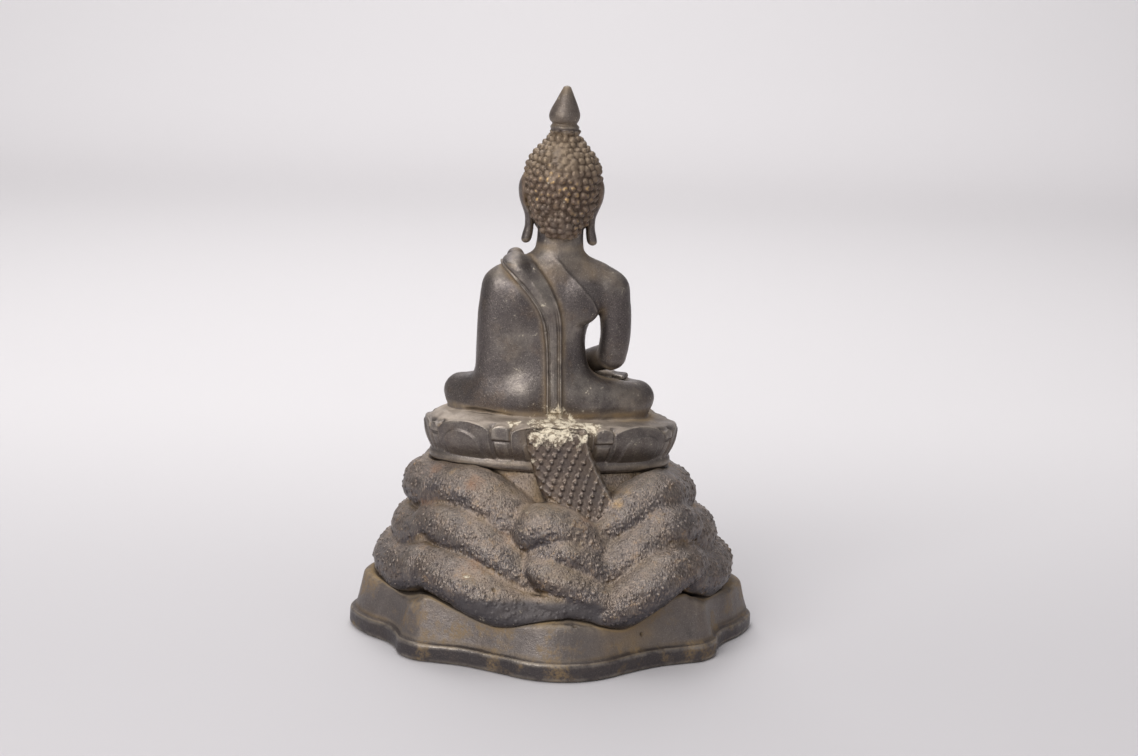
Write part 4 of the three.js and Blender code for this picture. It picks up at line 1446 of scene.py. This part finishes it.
def addLight(name, place, size, power, color=(1, 1, 1), aim=(0, 0, 0.12)):
    data = bpy.data.lights.new(name, "AREA")
    data.size = size
    data.energy = power
    data.color = color
    lamp = addObject(name, data)
    lamp.location = place
    lamp.rotation_euler = (Vector(aim) - Vector(place)).to_track_quat("-Z", "Y").to_euler()


# in metres; a pale sweep that rises well behind the far side, so that all sides can be seen
sweepShape = {
    "halfWidth": 4.0,
    "near": 3.0,
    "far": -1.7,
    "bend": 0.9,
    "height": 3.0,
    "under": 0.0003,
}


def addStage():
    s = sweepShape
    bend = s["bend"]
    rows = [(s["near"], 0.0), (s["far"], 0.0)]
    for a in np.linspace(0.1, math.pi / 2, 14):
        rows.append((s["far"] - bend * math.sin(a), bend - bend * math.cos(a)))
    rows.append((s["far"] - bend, s["height"]))
    verts = [(x, y, z - s["under"]) for y, z in rows for x in (-s["halfWidth"], s["halfWidth"])]
    faces = [(2 * n, 2 * n + 1, 2 * n + 3, 2 * n + 2) for n in range(len(rows) - 1)]
    mesh = bpy.data.meshes.new("sweep")
    mesh.from_pydata(verts, [], faces)
    mesh.polygons.foreach_set("use_smooth", [True] * len(faces))
    floor = addObject("sweep", mesh)
    paint = Paint("sweep")
    along = paint.node("ShaderNodeSeparateXYZ", {}, {0: paint.place}, 1)
    # the floor is darker on the camera's side, and the rise is painted paler, a painted light against the
    # lamps' light falling off up the backdrop
    color = paint.mix(along.between(-0.5, 0.1), tone(220, 217, 218), tone(197, 194, 196))
    color = paint.mix(along.between(-1.4, -2.1), color, tone(240, 237, 238))
    mesh.materials.append(paint.finish(Base_Color=color, Roughness=0.85))


def addWorld():
    world = bpy.data.worlds.new("world")
    world.use_nodes = True
    background = world.node_tree.nodes["Background"]
    background.inputs["Color"].default_value = tone(250, 248, 252)
    background.inputs["Strength"].default_value = 0.28
    bpy.context.scene.world = world
    bpy.context.scene.view_settings.view_transform = "Standard"


addCamera()
addStage()
for light in lights:
    addLight(*light)
addWorld()


# the three castings

def allFields(p):
    return np.minimum(np.minimum(figureField(p), nagaField(p)), plinthField(p))


def place(piece, node, slot, material):
    piece.data.materials.clear()
    piece.data.materials.append(material)
    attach(piece, "root")
    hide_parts(node)


plinthPits = np.array([
    (-8.4, 78.6, 25.6), (-16.1, 75.4, 24), (-41.3, 62, 16.6), (-8.4, 84.6, 10.6), (22, 78, 19),
])


def buildPlinth():
    verts, quads = netSurface(plinthField, plinthLow - 2, plinthHigh + (2, 2, 8), max(fineStep, 0.6))
    report(f"plinth netted, {len(quads)} quads")
    normals = vertexNormals(verts, quads)
    verts -= normals * bumps(verts, plinthPits, np.full(len(plinthPits), 1.1), 1.0)[:, None]
    piece = makePiece("bronze_plinth", verts, quads, trianglesPerPiece)
    co, normal = weatherMaps(piece, allFields)
    x, y, z = co.T
    # the walls are paler than the rim, and the joint under the coils is full of dirt
    joint = ease((z - plinthEdge(x) + 6) / 6) * 0.75 * (0.6 + 0.5 * waves(co, 30, 41))
    foot = 0.35 * bell((z - 10.4) / 1.2)
    smear = 0.9 * bell((x + 37) / 15) * (y > 0) * ease((z - 10) / 3)
    writeMaps(piece, {
        "wall": ease((z - 9.4) / 2) * ease(1 - np.abs(normal[:, 2])),
        "dust": np.clip(joint + foot + smear, 0, 1),
        "pit": blobs(co, [(x, y, z, 0.9) for x, y, z in plinthPits]),
    })
    place(piece, "plinth", "plinth_bronze", plinthBronze())


def coilStuds():
    # studs in staggered rows round each strand, where they lie on the surface
    rng = np.random.default_rng(21)
    pitch = coilShape["studPitch"]
    found = []
    for stops in coilStrands():
        path = smoothCurve(stops, 60)
        steps = np.linalg.norm(np.diff(path[:, :3], axis=0), axis=1)
        arc = np.concatenate([[0], np.cumsum(steps)])
        for n, level in enumerate(np.arange(0, arc[-1], pitch * 0.87)):
            centre = np.array([np.interp(level, arc, path[:, k]) for k in range(4)])
            ahead = np.array([np.interp(level + 1, arc, path[:, k]) - np.interp(level - 1, arc, path[:, k])
                              for k in range(3)])
            ahead /= np.linalg.norm(ahead)
            across = np.cross(ahead, [0, 0, 1])
            across /= np.linalg.norm(across)
            over = np.cross(across, ahead)
            count = round(2 * math.pi * centre[3] / pitch)
            angle = 2 * math.pi * (np.arange(count) + 0.5 * (n % 2) + rng.uniform(-0.3, 0.3, count)) / count
            outward = np.cos(angle)[:, None] * across + np.sin(angle)[:, None] * over
            ring = centre[:3] + centre[3] * outward
            found.append(ring + rng.uniform(-0.5, 0.5, ring.shape))
    found = np.vstack(found)
    found = found[rng.uniform(size=len(found)) < coilShape["studShare"]]
    return found[np.abs(inChunks(nagaField, found)) < 0.9]


def neckStuds():
    # a lattice of studs on the neck's outer face
    s = neckShape
    found = []
    for row, z in enumerate(np.arange(s["low"] + 1, s["high"] - 1.5, s["studRow"])):
        for k in range(-4, 5):
            across = (k + 0.5 * (row % 2)) * s["studStep"] / neckHalf(z)
            if not -0.84 < across < 0.95:
                continue
            deep = (1 - abs(across) ** s["square"]) ** (1 / s["square"])
            found.append((neckX(z) + across * neckHalf(z), neckY(z) + s["thickness"] * deep, z))
    return np.array(found)


def tips(points, centres, sizes):
    # 1 at each centre, down to 0 at its size
    tree = treeOf(centres)
    near = [tree.find(point)[1:] for point in points]
    return np.array([max(0.0, 1 - away / sizes[n]) for n, away in near])


def neckLattice(p):
    # fine crossed ridges that join the studs
    s = neckShape
    x, _, z = p.T
    u = (x - neckX(z)) / s["studStep"]
    v = (z - s["low"] - 1) / (2 * s["studRow"])
    away = np.minimum(np.abs(u + v - np.round(u + v)), np.abs(u - v - np.round(u - v)))
    return bell(away / 0.09)


coilPits = np.array([(25.2, 58.6, 57.4), (30, 70, 40), (61.2, 51, 46)])
# x, y, z and radius of each spot
coilSpots = {
    "stain": [
        (62, 26, 67, 5), (28, 48, 59, 5), (40, 57, 44.5, 6), (41, 38, 84, 5), (-60, 44, 52, 6),
        (-14, 50, 66, 5), (60, 20, 84, 5),
    ],
    "gilt": [(-29, 46, 76.6, 3.4), (52, 32, 88, 3), (-34, 40, 80, 4)],
    "cream": [(2, 37, 110.5, 9), (11, 41, 109, 4), (-12, 41, 109, 4), (13.6, 42, 96, 1.6)],
}


def buildNaga():
    verts, quads = netSurface(nagaField, nagaLow - (2, 2, 12), nagaHigh + 2, fineStep)
    report(f"naga netted, {len(quads)} quads")
    normals = vertexNormals(verts, quads)
    rng = np.random.default_rng(31)
    onNeck = (neckField(verts) < 0.5) & (verts[:, 2] > 60)
    lift = 0.35 * waves(verts, 15, 6) + 0.16 * waves(verts, 5, 8)
    coils = np.nonzero(~onNeck & (normals[:, 2] > -0.7) & (verts[:, 2] > 24) & (verts[:, 2] < 86))[0]
    studs = coilStuds()
    sizes = rng.uniform(*coilShape["studSize"], len(studs))
    lift[coils] += bumps(verts[coils], studs, sizes, coilShape["studHeight"], 0.16)
    band = np.nonzero(onNeck & (normals[:, 1] > -0.1) & (normals[:, 2] < 0.7))[0]
    points = neckStuds()
    lift[onNeck] *= 0.4
    neckSizes = rng.uniform(*neckShape["studSize"], len(points))
    lift[band] += bumps(verts[band], points, neckSizes, neckShape["studHeight"], 0.1, 1.7)
    lift[band] += neckShape["lattice"] * neckLattice(verts[band])
    lift -= bumps(verts, coilPits, np.full(len(coilPits), 1.3), 1.3)
    # nothing grows into the plinth or the seat
    free = ease((inChunks(plinthField, verts) - 0.3) / 1.2) * ease((inChunks(seatShell, verts) - 0.3) / 1.2)
    verts += normals * (lift * free)[:, None]
    piece = makePiece("bronze_naga_coils", verts, quads, trianglesPerPiece)
    report("naga made")
    co, _ = weatherMaps(piece, allFields)
    x, y, z = co.T
    # dust lies on the tops behind, less of it at the sides, and hardly any on the lip
    middle = 1 - 0.6 * ease((np.abs(x + 2) - 40) / 14) - 0.4 * ease((-x - 12) / 20)
    lipless = 1 - 0.85 * ease((y - 60) / 4) * ease((37 - z) / 3) * ease((37 - np.abs(x - 14)) / 4)
    studded = np.concatenate([studs, points])
    tipSizes = np.where(np.arange(len(studded)) < len(studs), 0.85, 1.2)
    writeMaps(piece, {
        "neck": ease((0.9 - neckField(co)) / 0.8) * ease((z - 58) / 4),
        "dust": np.clip(middle * lipless, 0, 1),
        # the lip is bare of dust and painted darker, a painted shade
        "bareShadedLip": np.clip(1.18 * (1 - lipless), 0, 1),
        "tip": tips(co, studded, tipSizes),
        "stain": blobs(co, coilSpots["stain"]),
        "gilt": blobs(co, coilSpots["gilt"]),
        "cream": blobs(co, coilSpots["cream"]),
    })
    place(piece, "naga_coils_and_neck", "coil_bronze", coilBronze())


# x, y, z and radius of each spot, in the figure's own frame but for the cream
figureSpots = {
    "crown": [(-2, 15, 124, 8), (2, 12, 129, 6), (5, 18, 117, 5), (-6, 17, 117, 4), (-2, 20, 92, 5)],
    "gilt": [(6, 20, 116, 7), (-3, 20, 110, 6), (-10, 16, 96, 6), (12, 16, 108, 5), (-12, 14, 112, 5)],
    # paler rubbed spots, some of them a painted highlight, such as the broad one at the right hip
    "rubAndHighlight": [
        (28.3, 10, 68, 5), (20, 17, 36, 9), (16, 20, 16, 7), (-15, 19, 15, 7), (6, 11, 79, 5),
        (-26, 9, 66, 6), (-9, 17, 44, 7), (-34, 10, 8, 14), (-6, 12, 84, 9), (-22, 16, 9, 9),
    ],
    "neckBase": [(-6, 12, 76, 6), (-2, 13, 72, 5), (5, 13, 72, 5), (-14, 11, 74, 5)],
    "cream": [(8, 27, 111, 7), (-4, 27, 111, 8), (-14, 27, 110.5, 6), (2, 20, 113.6, 4), (22, 26, 111, 3)],
}


def curlLift(p, above):
    # how far the hair's points rise with the curls; above is their height over the hair's edge
    s = figureShape
    centres = curlCentres()
    rng = np.random.default_rng(9)
    sizes = s["curlRadius"] * rng.uniform(*s["curlSpread"], len(centres))
    lift = bumps(p, centres, sizes, s["curlHeight"], 0, 1.0) - 0.4 * ease((above + 2) / 2)
    # old dirt fills the crown behind
    return lift + (0.9 + 0.25 * waves(p, 4, 17) - lift) * 0.8 * blobs(p, figureSpots["crown"])


def figureMaps(piece, co, normal):
    p = toFigure(co)
    y = p[:, 1]
    z = p[:, 2]
    seatZ = toSeat(co)[2]
    cap = hairCap[2](p)
    hair = ease((hairHeight(p) + 0.8) / 1.2) * ease((figureShape["hairTop"] - z) / 1.4) * ease((z - 84) / 2)
    hair *= ease((cap + 1.2) / 0.8) * ease((3 - cap) / 0.6)
    across, _, half = pathPlace(p, sashShape["path"])
    # the sash and the seat's petal walls are paler, wear and painted highlight together
    onSash = ease((half - np.abs(across)) / 0.8) * (y > 3) * (0.85 - 0.6 * ease((z - 66) / 6))
    petalWall = 0.45 * ease((-1 - z) / 2) * ease((12 - np.abs(seatZ - 12)) / 2)
    # dust lies beside the sash, round the neck, along the seam under the legs, on the ledge and the bud
    beside = 0.8 * bell((np.abs(across) - half - 0.6) / 1.3) * (y > 3) * (z < 78)
    neckBase = 0.55 * blobs(p, figureSpots["neckBase"])
    seam = 0.8 * bell((z - 0.6) / 1.5) * (z < 6)
    ledge = ease((seatZ - 20) / 2) * ease((normal[:, 2] - 0.45) / 0.3) * (z < 3)
    foot = 0.35 * bell((seatZ - 3.2) / 0.8)
    bud = 0.32 * ease((z - 138) / 2)
    writeMaps(piece, {
        "hair": hair,
        "crown": ease((z - 112) / 14),
        "gilt": blobs(p, figureSpots["gilt"]),
        "rubAndHighlight": np.maximum.reduce([blobs(p, figureSpots["rubAndHighlight"]), onSash, petalWall]),
        # upward faces of the ledge, paler towards the lit left: dust and painted light
        "ledge": ledge * ease((co[:, 0] + 46) / 30),
        "dust": np.clip(np.maximum.reduce([beside, neckBase, seam, ledge * 0.6, foot, bud]), 0, 1),
        "cream": blobs(co, figureSpots["cream"]),
    })


def buildFigure():
    verts, quads = netSurface(figureField, seatLow - (2, 2, 4), figureHigh + 2, fineStep)
    report(f"figure netted, {len(quads)} quads")
    p = toFigure(verts)
    normals = vertexNormals(verts, quads) @ upright.T
    above = hairHeight(p)
    high = (p[:, 2] > 82) & (p[:, 2] < figureShape["hairTop"])
    hairy = np.nonzero((above > -2) & high & (np.abs(hairCap[2](p)) < 1.4))[0]
    lift = curlLift(p[hairy], above[hairy])
    verts[hairy] += (normals[hairy] * lift[:, None]) @ upright
    piece = makePiece("bronze_buddha_on_seat", verts, quads, trianglesPerPiece)
    report("figure made")
    co, normal = weatherMaps(piece, allFields)
    figureMaps(piece, co, normal)
    place(piece, "buddha_on_lotus_seat", "figure_bronze", figureBronze())


buildPlinth()
buildNaga()
buildFigure()

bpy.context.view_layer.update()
report("scene done")
